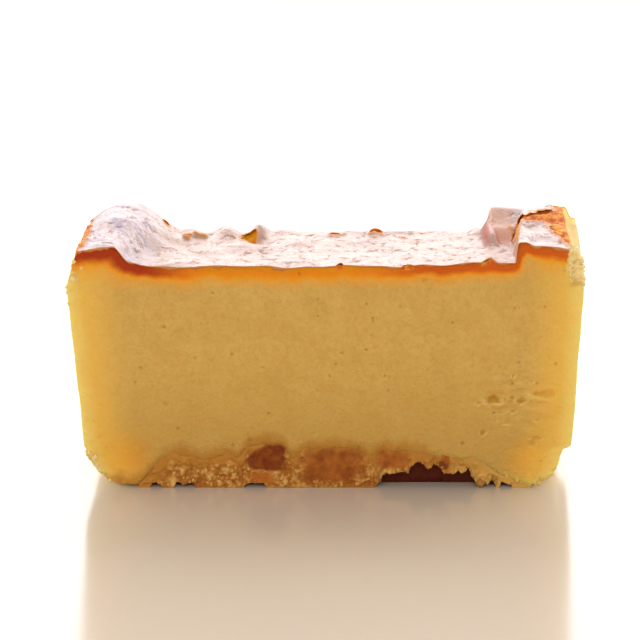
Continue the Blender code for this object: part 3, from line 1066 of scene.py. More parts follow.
@dataclass(frozen=True)
class CustardFinish:
    """Moist baked custard: ochre inside, browned in a band under the crust, with a painted glow by the skins
    and painted shade in its pores, tears, scrapes and low down.
    """

    inside: Colour = (0.785, 0.525, 0.147)
    deeper: Colour = (0.695, 0.425, 0.097)
    # painted shade: low darkens the custard towards the bottom, where less light reaches it
    low: Colour = (0.580, 0.348, 0.070)
    # painted glow: pale and golden_glow make the cut paler and yellower near the skins, where light shines
    # through the thin edges
    pale: Colour = (1.00, 0.75, 0.22)
    golden_glow: Colour = (1.00, 0.62, 0.11)
    tanned: Colour = (0.72, 0.47, 0.16)
    warm: Colour = (0.84, 0.39, 0.035)
    crumbly: Colour = (0.56, 0.250, 0.036)
    # speck_and_pore_shade darkens random fine specks, and is painted shade in the pores
    speck_and_pore_shade: Colour = (0.52, 0.28, 0.055)
    # painted shade in the knife's scrape grooves and in the tears, and painted highlight on the ridges between
    # the grooves and on the tears' lower lips
    painted_groove_and_tear_shade: Colour = (0.62, 0.32, 0.045)
    painted_ridge_and_lip_highlight: Colour = (1.00, 0.70, 0.260)
    band_left: Colour = (0.49, 0.046, 0.002)
    band_middle: Colour = (1.00, 0.320, 0.006)
    band_right: Colour = (0.74, 0.140, 0.004)
    band_light: Colour = (1.00, 0.400, 0.012)
    torn_light: Colour = (0.92, 0.36, 0.050)
    torn_dark: Colour = (0.62, 0.135, 0.018)
    # torn_yellow is also the painted glow in the torn opening by the tallest blister
    torn_yellow: Colour = (1.00, 0.48, 0.020)

    mottle_cloud: Cloud = (190.0, 4.0, 0.6)
    mottle: Span = (0.36, 0.70, 0.0, 0.50)
    low_down: Span = (0.004, 0.024, 0.55, 0.0)
    small_cloud: Cloud = (800.0, 5.0, 0.65)
    small_spots: Span = (0.40, 0.70, 0.0, 0.60)
    fine_cloud: Cloud = (2300.0, 3.0, 0.6)
    fine_spots: Span = (0.45, 0.75, 0.0, 0.26)
    many_pores: tuple[float, float] = (1000.0, 0.07)
    large_pores: tuple[float, float] = (520.0, 0.03)
    pore_weight: float = 0.6
    streak_cloud: Cloud = (900.0, 3.0, 0.6)
    streak_stretch: Triple = (0.35, 1.0, 1.0)
    # dark_streaks lie in the scrape grooves as painted shade, light_streaks on the ridges between them as
    # painted highlight
    dark_streaks: Span = (0.52, 0.64, 0.0, 0.55)
    light_streaks: Span = (0.48, 0.36, 0.0, 0.22)
    skin_wander: float = -3.0
    golden_glow_near: Span = (-1.0, 8.5, 0.9, 0.0)
    pale_near: Span = (-1.6, 1.8, 0.95, 0.0)
    base_cloud: Cloud = (480.0, 4.0, 0.65)
    base_wander: float = -3.0
    crumbly_near: Span = (-1.5, 1.3, 0.95, 0.0)
    band_cloud: Cloud = (330.0, 4.0, 0.6)
    band_wander: float = -1.8
    band_length: float = 0.0854
    band_stops: tuple[float, ...] = (0.0, 0.14, 0.27, 0.54, 0.70, 1.0)
    band_fade: Span = (0.10, 0.74)
    band_glow: Span = (0.5, 1.9, 0.55, 0.0)
    band_end: Span = (0.42, 0.98, 1.0, 0.0)
    torn_scale: float = 900.0
    torn_specks: Span = (0.42, 0.58)
    torn_cloud: tuple[float, float] = (300.0, 3.0)
    torn_patches: Span = (0.50, 0.60)

    roughness: Span = (0.3, 0.8, 0.45, 0.62)
    specular: float = 0.2
    subsurface: float = 0.75
    radius: Triple = (1.0, 0.55, 0.2)
    scatter: float = 0.0016
    fuzz: Triple = (1700.0, 0.00014, 0.9)
    relief: tuple[float, float] = (0.00045, 0.9)

    def _band(self, tree: Tree, place: Any, colour: Any) -> Socket:
        """Browns the colour in a band under the crust: dark on top, orange below, darkest at the left.

        Args:
            tree: the material.
            place: the point on the piece.
            colour: the custard's colour.

        Returns:
            The browned colour.
        """
        cloud = tree.noise(place, *self.band_cloud)
        wander = tree.math("MULTIPLY_ADD", cloud, self.band_wander, tree.painted("under_crust"))
        depth = tree.math("DIVIDE", wander, tree.painted("band"))
        colours = (self.band_left,) * 2 + (self.band_middle,) * 2 + (self.band_right,) * 2
        along = tree.math("MULTIPLY_ADD", tree.xyz(place)[0], 1 / self.band_length, 0.5)
        dark = tree.ramp(along, tuple(zip(self.band_stops, colours)))
        band = tree.mix(tree.spread(depth, *self.band_fade), dark, self.band_light)
        glow = tree.spread(depth, *self.band_glow)
        return tree.layered(colour, (glow, self.band_light), (tree.spread(depth, *self.band_end), band))

    def _inside(self, tree: Tree, place: Any, dots: Any, small: Any) -> Socket:
        """The custard's colour: mottled, with a painted glow by the skins, painted shade low down and in the
        pores, and painted shade and highlights in the tears and scrapes.

        Args:
            tree: the material.
            place: the point on the piece.
            dots: the mask of the pores.
            small: fine noise.

        Returns:
            The colour.
        """
        cloud = tree.noise(place, *self.mottle_cloud)
        drawn = tree.noise(tree.vector("MULTIPLY", place, self.streak_stretch), *self.streak_cloud)
        dragged = tree.painted("dragged")
        uneven = tree.math("MULTIPLY_ADD", cloud, self.skin_wander, tree.painted("near_skin"))
        return tree.layered(
            self.inside,
            (tree.spread(cloud, *self.mottle), self.deeper),
            # painted shade: darker towards the bottom
            (tree.spread(tree.xyz(place)[2], *self.low_down), self.low),
            (tree.spread(small, *self.small_spots), self.deeper),
            (tree.spread(tree.noise(place, *self.fine_cloud), *self.fine_spots), self.speck_and_pore_shade),
            # painted shade in the pores
            (tree.times(dots, self.pore_weight), self.speck_and_pore_shade),
            # painted shade in the scrape grooves and the tears, painted highlight on the ridges between grooves
            # and on the tears' lower lips
            (tree.times(tree.spread(drawn, *self.dark_streaks), dragged), self.painted_groove_and_tear_shade),
            (tree.times(tree.spread(drawn, *self.light_streaks), dragged), self.painted_ridge_and_lip_highlight),
            (tree.painted("painted_tear_shade"), self.painted_groove_and_tear_shade),
            (tree.painted("lip"), self.painted_ridge_and_lip_highlight),
            (tree.painted("warm"), self.warm),
            # painted glow: paler and yellower near the skins
            (tree.spread(uneven, *self.golden_glow_near), self.golden_glow),
            (tree.spread(uneven, *self.pale_near), self.pale),
            (tree.painted("tanned"), self.tanned),
        )

    def _torn(self, tree: Tree, place: Any, grain: Tree) -> Socket:
        """The crumbly orange ground that shows where the crust is torn off, with a painted glow in the torn
        opening by the tallest blister.

        Args:
            tree: the material.
            place: the point on the piece.
            grain: the shared group of grain.

        Returns:
            The colour.
        """
        clump = tree.group_node(grain, Place=place, Scale=self.torn_scale)[0]
        # painted glow: the torn opening by the tallest blister is painted yellower, without dark specks
        painted_glow_and_patches = tree.painted("painted_glow_and_patches")
        speck = tree.less(tree.spread(clump, *self.torn_specks), painted_glow_and_patches, clamp=True)
        painted_glow_and_patches = tree.most(tree.spread(tree.noise(place, *self.torn_cloud), *self.torn_patches), painted_glow_and_patches)
        return tree.mix(speck, tree.mix(painted_glow_and_patches, self.torn_light, self.torn_yellow), self.torn_dark)

    def make(self, pores: Tree, grain: Tree) -> Material:
        """Builds the material.

        Args:
            pores: the shared group of pores.
            grain: the shared group of grain.

        Returns:
            The material.
        """
        tree = Tree.material("custard")
        place = tree.place()
        small = tree.noise(place, *self.small_cloud)
        many, large = (
            tree.group_node(pores, Place=place, Scale=scale, Share=share)[0]
            for scale, share in (self.many_pores, self.large_pores)
        )
        dots = tree.most(many, tree.times(large, self.pore_weight))
        cloud = tree.noise(place, *self.base_cloud)
        low = tree.math("MULTIPLY_ADD", cloud, self.base_wander, tree.painted("above_base"))
        colour = self._inside(tree, place, dots, small)
        colour = tree.mix(tree.spread(low, *self.crumbly_near), colour, self.crumbly)
        colour = self._band(tree, place, colour)
        colour = tree.mix(tree.painted("torn"), colour, self._torn(tree, place, grain))
        scale, *fuzz = self.fuzz
        finest = tree.bump(tree.group_node(grain, Place=place, Scale=scale)[1], *fuzz)
        return tree.dress(
            Base_Color=colour,
            Roughness=tree.spread(small, *self.roughness),
            Specular_IOR_Level=self.specular,
            Subsurface_Weight=self.subsurface,
            Subsurface_Radius=self.radius,
            Subsurface_Scale=self.scatter,
            Normal=tree.bump(tree.math("MULTIPLY_ADD", dots, -1.0, small), *self.relief, finest),
        )


@dataclass(frozen=True)
class CrustFinish:
    """The glossy browned skin: pink-brown, a painted purple-grey reflection on the rims' lumps, redder where
    steep, orange where torn, with painted shade and painted sheen on the inner block.
    """

    brown: Colour = (0.66, 0.400, 0.320)
    dark: Colour = (0.46, 0.230, 0.185)
    # painted reflection: painted_lilac_reflection tints the lumps and painted_mauve_reflection streaks them, as
    # if they mirrored a darker surround
    painted_lilac_reflection: Colour = (0.70, 0.500, 0.490)
    painted_mauve_reflection: Colour = (0.50, 0.370, 0.470)
    wall: Colour = (0.84, 0.500, 0.400)
    wall_brown: Colour = (0.70, 0.260, 0.120)
    # fold is painted shade: the inner block's left wall and its foot painted darker red
    fold: Colour = (0.50, 0.170, 0.150)
    torn: Colour = (0.86, 0.34, 0.060)
    edge: Colour = (0.78, 0.230, 0.035)
    crack: Colour = (0.44, 0.150, 0.080)
    # salmon_and_painted_sheen: the real pink-orange stripe of flakes, and painted sheen that makes the inner
    # block paler and pinker
    salmon_and_painted_sheen: Colour = (1.00, 0.520, 0.400)

    mottle_cloud: Cloud = (330.0, 4.0, 0.6)
    mottle: Span = (0.45, 0.70, 0.0, 0.45)
    fleck_cloud: Cloud = (1500.0, 4.0, 0.65)
    fleck_stretch: Triple = (1.0, 0.6, 1.0)
    flecks: Span = (0.56, 0.68, 0.0, 0.55)
    streak_cloud: Cloud = (620.0, 4.0, 0.6)
    streaks: Span = (0.50, 0.62)
    run_cloud: Cloud = (1100.0, 3.0, 0.6)
    run_stretch: Triple = (1.0, 1.0, 0.22)
    runs: Span = (0.46, 0.60)
    wall_weight: float = 0.9
    salmon_and_painted_sheen_mottle: Span = (0.35, 0.65, 0.7, 1.0)
    cracks: Span = (0.15, 0.8, 0.0, 0.65)

    dull_streaks: float = 0.7
    dull_flecks: Span = (0.53, 0.67)
    bare_salmon_and_painted_sheen: float = 0.7
    bare_fold: float = 1.2
    roughness: Triple = (0.32, 0.50, 0.85)
    coat: tuple[float, float] = (0.55, 0.28)
    coat_ends: float = 0.9
    coat_roughness: float = 0.25
    subsurface: float = 0.3
    radius: Triple = (1.0, 0.4, 0.2)
    scatter: float = 0.0012
    fuzz: Triple = (2600.0, 0.00005, 0.8)
    relief: tuple[float, float] = (0.00022, 0.9)

    SLOPE_TURN: ClassVar[float] = 0.65
    SLOPE_STRETCH: ClassVar[Triple] = (0.45, 1.4, 1.0)

    def make(self, grain: Tree) -> Material:
        """Builds the material.

        Args:
            grain: the shared group of grain.

        Returns:
            The material.
        """
        tree = Tree.material("browned_crust")
        place = tree.place()
        cloud = tree.noise(place, *self.mottle_cloud)
        flecks = tree.noise(tree.vector("MULTIPLY", place, self.fleck_stretch), *self.fleck_cloud)
        streaks = tree.noise(self.along_slope(tree, place), *self.streak_cloud)
        runs = tree.noise(tree.vector("MULTIPLY", place, self.run_stretch), *self.run_cloud)
        lump, edge, fold = tree.painted("lump"), tree.painted("edge"), tree.painted("fold")
        # painted reflection: purple-grey streaks down the slopes of the lumps, over a purple-grey tint
        painted_lilac_reflection = tree.times(tree.spread(streaks, *self.streaks), lump)
        # real flakes in the stripe, painted sheen on the inner block
        salmon_and_painted_sheen = tree.times(tree.painted("salmon_and_painted_sheen"), tree.spread(cloud, *self.salmon_and_painted_sheen_mottle))
        colour = tree.layered(
            tree.mix(lump, self.brown, self.painted_lilac_reflection),
            (tree.spread(cloud, *self.mottle), self.dark),
            (painted_lilac_reflection, self.painted_mauve_reflection),
            (tree.spread(flecks, *self.flecks), self.dark),
            (
                tree.times(tree.painted("steep"), self.wall_weight),
                tree.mix(tree.spread(runs, *self.runs), self.wall, self.wall_brown),
            ),
            (salmon_and_painted_sheen, self.salmon_and_painted_sheen),
            # painted shade on the inner block's left wall and its foot
            (fold, self.fold),
            (tree.spread(tree.painted("crack"), *self.cracks), self.crack),
            (tree.painted("torn"), self.torn),
            (edge, self.edge),
        )
        dull = tree.most(tree.times(painted_lilac_reflection, self.dull_streaks), tree.spread(flecks, *self.dull_flecks), edge)
        bare = tree.most(
            tree.painted("torn"), tree.times(salmon_and_painted_sheen, self.bare_salmon_and_painted_sheen), tree.times(fold, self.bare_fold)
        )
        glossy, worn, raw = self.roughness
        scale, *fuzz = self.fuzz
        finest = tree.bump(tree.group_node(grain, Place=place, Scale=scale)[1], *fuzz)
        return tree.dress(
            Base_Color=colour,
            Roughness=tree.spread(bare, 0.0, 1.0, tree.spread(dull, 0.0, 1.0, glossy, worn), raw),
            Coat_Weight=tree.spread(bare, 0.0, self.coat_ends, tree.spread(dull, 0.0, 1.0, *self.coat), 0.0),
            Coat_Roughness=self.coat_roughness,
            Subsurface_Weight=self.subsurface,
            Subsurface_Radius=self.radius,
            Subsurface_Scale=self.scatter,
            Normal=tree.bump(flecks, *self.relief, finest),
        )

    @classmethod
    def along_slope(cls, tree: Tree, place: Any) -> Socket:
        """Stretches a pattern along the way the skin slid down off the rims.

        Args:
            tree: the tree that reads the pattern.
            place: the point on the piece.

        Returns:
            The point to read the pattern at.
        """
        settings = {"rotation_type": "Z_AXIS"}
        turned = tree.add("ShaderNodeVectorRotate", settings, Vector=place, Angle=cls.SLOPE_TURN)[0]
        return tree.vector("MULTIPLY", turned, cls.SLOPE_STRETCH)


@dataclass(frozen=True)
class BiscuitFinish:
    """Dry biscuit crumb, from pale ochre to brown, paler towards the right end, with painted shade in the bites
    and crevices and painted highlight on raised crumbs.
    """

    name: str
    light: Colour
    dark: Colour
    right: Colour
    scale: float = 700.0
    subsurface: float = 0.3
    soaked: Colour = (0.54, 0.235, 0.034)
    piece_light: Colour = (0.56, 0.190, 0.026)
    piece_dark: Colour = (0.20, 0.034, 0.004)
    # hollow is painted shade: the bites out of the base's underside painted nearly black
    hollow: Colour = (0.11, 0.016, 0.006)
    paler: Colour = (1.00, 0.84, 0.440)

    clump_cloud: tuple[float, float] = (420.0, 2.0)
    contrast: float = 1.1
    tones: Span = (0.1, 0.9)
    soaked_weight: float = 0.92
    right_from: Span = (0.016, 0.029, 0.0, 0.75)
    pale_mottle: Span = (-0.5, 0.2, 0.5, 1.0)
    piece_contrast: float = 0.6
    roughness: Span = (0.3, 0.7, 0.7, 0.9)
    specular: float = 0.2
    radius: Triple = (1.0, 0.45, 0.18)
    scatter: float = 0.0012
    relief: tuple[float, float] = (0.00022, 0.8)

    def make(self, grain: Tree) -> Material:
        """Builds the material.

        Args:
            grain: the shared group of grain.

        Returns:
            The material.
        """
        tree = Tree.material(self.name)
        place = tree.place()
        value, height = tree.group_node(grain, Place=place, Scale=self.scale)[:2]
        mottle = tree.math("ADD", value, tree.noise(place, *self.clump_cloud))
        varied = tree.math("MULTIPLY_ADD", mottle, self.contrast, -self.contrast)
        # painted highlight and shade: lump makes the raised crumbs lighter and the crevices between them darker
        own = tree.math("ADD", tree.painted("tone"), tree.painted("lump"))
        tone = tree.math("ADD", own, varied)
        pale = tree.times(tree.painted("pale"), tree.spread(varied, *self.pale_mottle))
        depth = tree.math("ADD", tree.painted("piece tone"), tree.times(varied, self.piece_contrast))
        piece = tree.mix(tree.spread(depth, *self.tones), self.piece_dark, self.piece_light)
        colour = tree.layered(
            tree.mix(tree.spread(tone, *self.tones), self.dark, self.light),
            (tree.times(tree.painted("soaked"), self.soaked_weight), self.soaked),
            (tree.spread(tree.xyz(place)[0], *self.right_from), self.right),
            (pale, self.paler),
            (tree.painted("piece"), piece),
            # painted shade in the bites under the base
            (tree.painted("hollow"), self.hollow),
        )
        return tree.dress(
            Base_Color=colour,
            Roughness=tree.spread(value, *self.roughness),
            Specular_IOR_Level=self.specular,
            Subsurface_Weight=self.subsurface,
            Subsurface_Radius=self.radius,
            Subsurface_Scale=self.scatter,
            Normal=tree.bump(height, *self.relief),
        )


@dataclass
class CustardBody:
    """The custard as cut: a dense body with fine relief on its cuts and skins."""

    across: int = 224
    deep: int = 46
    tall: int = 100
    skin_under: float = 0.14
    skin_under_at_cut: float = 0.04
    looked_at: tuple[tuple[float, float], ...] = ((0.35, 0.0), (-0.35, 0.0), (0.0, 0.025), (0.0, -0.025))
    rise_power: float = 1.12
    end_power: int = 8
    tears: tuple[Tear, ...] = (
        Tear(24.5, 14.8, 1.1, 0.8, 0.30),
        Tear(26.8, 15.5, 3.4, 1.8, 0.60),
        Tear(31.4, 15.2, 1.8, 1.2, 0.28),
        Tear(35.2, 16.3, 3.6, 1.8, 0.55),
        Tear(34.3, 8.6, 2.0, 0.9, 0.55),
        Tear(33.4, 7.6, 1.0, 1.9, 0.50),
        Tear(30.1, 19.5, 1.0, 0.6, 0.25),
        Tear(32.9, 18.4, 1.0, 0.5, 0.22),
        Tear(30.1, 13.4, 1.0, 0.7, 0.28),
        Tear(29.2, 11.2, 1.2, 0.6, 0.24),
        Tear(25.3, 9.6, 1.0, 0.9, 0.28),
        Tear(34.2, 11.8, 1.1, 0.8, 0.24),
    )
    tear_lump: float = 0.9
    tear_ragged: float = 0.35
    tear_bowl: Span = (0.35, 1.0)
    tear_lip: Span = (0.7, 1.0)
    tear_lip_end: Span = (1.0, 1.6)
    lip_height: float = 0.12
    band_height: Triple = (1.8, 1.1, 0.35)
    band_steps: tuple[Triple, ...] = ((1.2, -37.5, 7.5), (0.6, 35.5, 4.5), (-0.3, 30.2, 3.0))
    no_band_past: Span = (39.0, 39.8)
    warm: tuple[Patch, ...] = (Patch(-34.6, 4.9, 7.2, 6.2), Patch(33.5, 5.0, 6.0, 4.5, 0.7))
    crumbs_low_left: Patch = Patch(-38.5, 4.5, 4.5, 5.0, 2.4)
    crumbs_upper_left: Patch = Patch(-42.0, 35.5, 2.6, 6.0, 0.9)
    crumbs_in_break: float = 9.0
    dragged: Patch = Patch(33.0, 15.0, 9.5, 9.0, 1.5)
    # where the torn opening by the tallest blister gets a painted glow
    painted_glow_and_patches: tuple[float, float] = (-13.5, 3.6)

    def columns(self, share: Array) -> Array:
        """Spaces the top's columns evenly along the crust's own line at each depth share.

        Args:
            share: shares of the depth, one row for each.

        Returns:
            The x of each column, in the same shape.
        """
        fine, steepness = np.linspace(0, 1, 1401), 0.9
        rows = []
        for depth in share[:, 0]:
            x = blend(*self.ends(depth), fine)
            z = FORM.crust(x, np.full_like(x, depth))
            run = np.concatenate([[0], np.cumsum(np.hypot(np.diff(x), steepness * np.diff(z)))])
            rows.append(np.interp(np.linspace(0, run[-1], share.shape[1]), run, x))
        return np.array(rows)

    @staticmethod
    def ends(share: float) -> tuple[float, float]:
        """Finds the crust's two ends.

        Args:
            share: a share of the depth.

        Returns:
            The x of the left and of the right end.
        """
        depth = np.array([share])
        left = np.array([FORM.left_side + FORM.left_skin.shoulder])
        right = np.array([FORM.right_side + FORM.flare * share - FORM.right_skin.shoulder])
        left_top, right_top = FORM.crust(left, depth), FORM.crust(right, depth)
        left, right = FORM.left_x(left_top, depth, left_top), FORM.right_x(right_top, depth, right_top)
        return float(left[0]), float(right[0])

    def top(self, along: Array, share: Array) -> Walls:
        """The body's top, just under the crust skin."""
        x = self.columns(share)
        return x, self._lowered(x, share)

    def _lowered(self, x: Array, share: Array) -> Array:
        """Height of the body's top: under the crust skin, and well under it where the crust is steep.

        Args:
            x: each point's x.
            share: each point's depth share.

        Returns:
            One height for each point.
        """
        ends = np.array([self.ends(depth) for depth in share[:, 0]])
        height = FORM.crust(x, share)
        lower = height
        for aside, behind in self.looked_at:
            near = np.clip(x + aside, ends[:, :1], ends[:, 1:])
            lower = np.minimum(lower, FORM.crust(near, np.clip(share + behind, 0, 1)))
        inner = (share > 0.01) & (share < 0.99)
        return np.where(inner, lower - self.skin_under, height - self.skin_under_at_cut)

    def _side(self, along: Array, share: Array, side: int) -> Walls:
        """One of the two skins.

        Args:
            along: shares of the way up.
            share: each point's depth share.
            side: 0 for the left, 1 for the right.

        Returns:
            The x and the z of its points.
        """
        ends = np.array([[self.ends(depth)[side]] for depth in share[:, 0]])
        top = self._lowered(ends, share[:, :1])
        height = blend(FORM.foot_gap, top, along**self.rise_power)
        wall = (FORM.left_x, FORM.right_x)[side](height, share, top)
        return wall + (ends - wall[:, -1:]) * along**self.end_power, height

    def left(self, along: Array, share: Array) -> Walls:
        """The left skin."""
        return self._side(along, share, 0)

    def right(self, along: Array, share: Array) -> Walls:
        """The right skin."""
        return self._side(along, share, 1)

    def under(self, along: Array, share: Array) -> Walls:
        """The underside, from the left foot to the right foot.

        Args:
            along: shares of the way across.
            share: each point's depth share.

        Returns:
            The x and the z of its points.
        """
        ends = np.array([[0.0, 1.0]] * len(share))
        left, right = (self._side(ends, share[:, :2], side)[0][:, :1] for side in (0, 1))
        x = blend(left, right, along)
        return x, np.where((along == 0) | (along == 1), FORM.foot_gap, FORM.underside(x, share))

    def _torn_out(self, x: Array, z: Array) -> tuple[Array, Array]:
        """Where the knife tore hollows out of the front cut.

        Args:
            x: each point's x.
            z: each point's height.

        Returns:
            How deep each point lies in a hollow, in mm, and how far it stands on a raised lower lip, up to 1.
        """
        ragged = self.tear_ragged * rough(x, z, 5.0, self.tear_lump)
        depth, lips = np.zeros_like(x), np.zeros_like(x)
        for tear in self.tears:
            away = np.hypot((x - tear.x) / tear.wide * 2, (z - tear.z) / tear.high * 2) + ragged
            depth = np.maximum(depth, tear.deep * (1 - ease(*self.tear_bowl, away)))
            lip = ease(*self.tear_lip, away) * (1 - ease(*self.tear_lip_end, away))
            lips = np.maximum(lips, lip * (z < tear.z))
        return depth, lips

    def _carve(self, thing: Thing) -> None:
        """Sinks the tears into the front cut and breaks off its upper right corner.

        Args:
            thing: the body.
        """
        points = points_of(thing)
        front = points[:, 1] < -FORM.depth / 2 + 0.01
        depth, lips = self._torn_out(points[:, 0], points[:, 2])
        points[:, 1] += np.where(front, depth - self.lip_height * lips, 0.0)
        move_points(thing, FORM.pushed(points))

    @staticmethod
    def _under_crust(x: Array, z: Array, share: Array) -> Array:
        """Measures how far each point is from the crust: from its whole line at the cuts, elsewhere upwards.

        Args:
            x: each point's x.
            z: each point's height.
            share: each point's depth share.

        Returns:
            One distance for each point.
        """
        near = FORM.crust(x, share) - z
        line_x = np.linspace(FORM.left_side + 1.2, FORM.right_side, 700)
        for cut in (0.0, 1.0):
            here = np.abs(share - cut) < AT_CUT
            line_z = FORM.crust(line_x, np.full_like(line_x, cut))
            for from_x, from_z in zip(line_x, line_z):
                near[here] = np.minimum(near[here], np.hypot(x[here] - from_x, z[here] - from_z))
        return near

    def _paint_crumbs(self, thing: Thing, x: Array, z: Array, share: Array, near: Array) -> Array:
        """Paints where crumbs lie on the custard, and where they are pale.

        Args:
            thing: the body.
            x: each point's x.
            z: each point's height.
            share: each point's depth share.
            near: distances from the nearer skin.

        Returns:
            How far the front corner is broken off at each point, from 0 to 1.
        """
        broken = FORM.broken(x, z) * (share < FORM.break_reach / FORM.depth)
        low_right = ease(20.0, 28.0, x) * (1 - ease(1.2, 3.6, z))
        low_left = self.crumbs_low_left.on(x, z) * (share < 0.3) * (1 - ease(0.5, 1.6, near))
        upper_right = self.crumbs_in_break * broken
        upper_left = self.crumbs_upper_left.on(x, z) * (1 - ease(0.02, 0.3, share))
        crumby = largest([low_right, low_left, upper_right, upper_left])
        pale = [ease(1.0, 3.0, upper_right), ease(0.0, 0.4, low_left), 0.6 * ease(0.0, 0.4, upper_left)]
        paint(thing, "pale", largest(pale))
        high = z > FORM.crust(x, share) - 0.6
        bare = np.zeros(len(x))
        bare[high] = ease(0.3, 0.5, CrustSkin.bareness(x[high], share[high]))
        bare = bare * (1 - ease(*self.no_band_past, x)) * (1 - broken)
        paint(thing, "torn", bare)
        paint(thing, "crumby", crumby * (bare < 0.5))
        ends = np.clip(2 * hump(z, 4.5, 6.5), 0, 1) * (1 - ease(1.5, 4.5, near))
        paint(thing, "ragged", largest([ends, 1.5 * bare, 1.3 * broken]))
        return broken

    def _paint(self, thing: Thing) -> None:
        """Paints what the materials and the crumbs read.

        Args:
            thing: the body.
        """
        points = points_of(thing)
        x, z = points[:, 0], points[:, 2]
        share = np.clip(FORM.share(points[:, 1]), 0, 1)
        top = FORM.crust(x, share)
        near = np.minimum(x - FORM.left_x(z, share, top), FORM.right_x(z, share, top) - x)
        front, cut = share < AT_CUT, np.minimum(share, 1 - share) < AT_CUT
        broken = self._paint_crumbs(thing, x, z, share, near)
        skinned = np.maximum(ease(*self.no_band_past, x) * ~cut, broken)
        foot = hump(x, 32.0, 2.4) * (1 - ease(38.4, 41.0, z)) * cut
        left_back = ease(0.3, 0.8, share) * (x < -38.0) * ~cut
        off = 3.0 * skinned + 1.1 * foot + 1.3 * left_back
        paint(thing, "under_crust", self._under_crust(x, z, share) + off)
        at_cut, at_left, at_right = self.band_height
        step = sum(high * hump(x, *where) for high, *where in self.band_steps)
        on_skin = (near < 0.05) & ~cut
        band = np.where(on_skin, np.where(x < 0, at_left, at_right), at_cut + step)
        paint(thing, "band", blend(band, 0.05, skinned))
        # near_skin places the painted glow by the skins
        paint(thing, "near_skin", np.clip(near, 0, 50))
        above = z - FORM.base(x, share) + 2.6 * ease(13.0, 25.0, x)
        paint(thing, "above_base", np.where(cut, above, 9.0))
        paint(thing, "warm", np.clip(sum(patch.on(x, z) for patch in self.warm), 0, 1))
        # painted shade in each tear's hollow and painted highlight on its lower lip
        depth, lips = self._torn_out(x, z)
        paint(thing, "painted_tear_shade", 0.9 * ease(0.0, 0.35, depth) * front)
        paint(thing, "lip", 0.5 * lips * front)
        inward = ease(0.0, 0.15, np.minimum(share, 1 - share)) * ~cut
        tanned = np.where(x < 0, 0.4 * (x < -38.5), 0.8 * ease(39.2, 40.2, x))
        paint(thing, "tanned", inward * tanned)
        # painted glow in the torn opening by the tallest blister
        paint(thing, "painted_glow_and_patches", hump(x, *self.painted_glow_and_patches))
        paint(thing, "dragged", np.clip(self.dragged.on(x, z), 0, 1) * front)

    def _relief(self, material: Material) -> Tree:
        """Makes the tree that gives the cuts and the skins their fine relief.

        Args:
            material: the custard's finish.

        Returns:
            The tree.
        """
        sizes = {"Drag height": 0.00006, "Lump height": 0.0001, "Pit depth": 0.0002, "Crumb height": 0.0003,
                 "Scrape depth": 0.0004, "Clod height": 0.0011}
        tree = Tree.geometry("cut_relief", {name: (Kind.NUMBER, size) for name, size in sizes.items()})
        place, entry = tree.place(), tree.entry
        drag = tree.noise(tree.vector("MULTIPLY", place, (1.0, 1.0, 0.35)), 700.0, 2.0)
        pit = tree.spread(tree.cells(place, 330.0)["Distance"], 0.10, 0.30, -1.0, 0.0)
        rare = tree.spread(tree.noise(place, 300.0, 1.0), 0.56, 0.66)
        crumbs = tree.less(0.6, tree.cells(place, 1100.0)["Distance"])
        loose = tree.math("MINIMUM", tree.most(tree.painted("crumby"), tree.painted("torn")), 1.0)
        scrape = tree.noise(tree.vector("MULTIPLY", place, (0.35, 1.0, 1.0)), 900.0, 3.0, 0.6)
        scrape = tree.times(tree.most(tree.less(scrape, 0.53), 0.0), -2.0)
        clods = tree.less(tree.noise(place, 560.0, 3.0, 0.6), 0.5)
        parts = (
            (tree.less(drag, 0.5), "Drag height"),
            (tree.less(tree.noise(place, 240.0, 2.0), 0.5), "Lump height"),
            (tree.times(pit, rare), "Pit depth"),
            (tree.times(crumbs, loose), "Crumb height"),
            (tree.times(scrape, tree.painted("dragged")), "Scrape depth"),
            (tree.times(clods, tree.painted("ragged")), "Clod height"),
        )
        height = tree.summed((part, entry[size]) for part, size in parts)
        tree.finish_shape(tree.raised(entry["Shape"], height), material)
        return tree

    def build(self, material: Material) -> Thing:
        """Makes the body and hands it over.

        Args:
            material: the custard's finish.

        Returns:
            The finished piece.
        """
        walls = (self.top, self.under, self.left, self.right)
        thing = Patchwork(self.across, self.deep, self.tall, *walls).build(Piece.BODY.value)
        self._paint(thing)
        self._carve(thing)
        grow(thing, self._relief(material))
        hand_over(thing, "custard")
        return thing


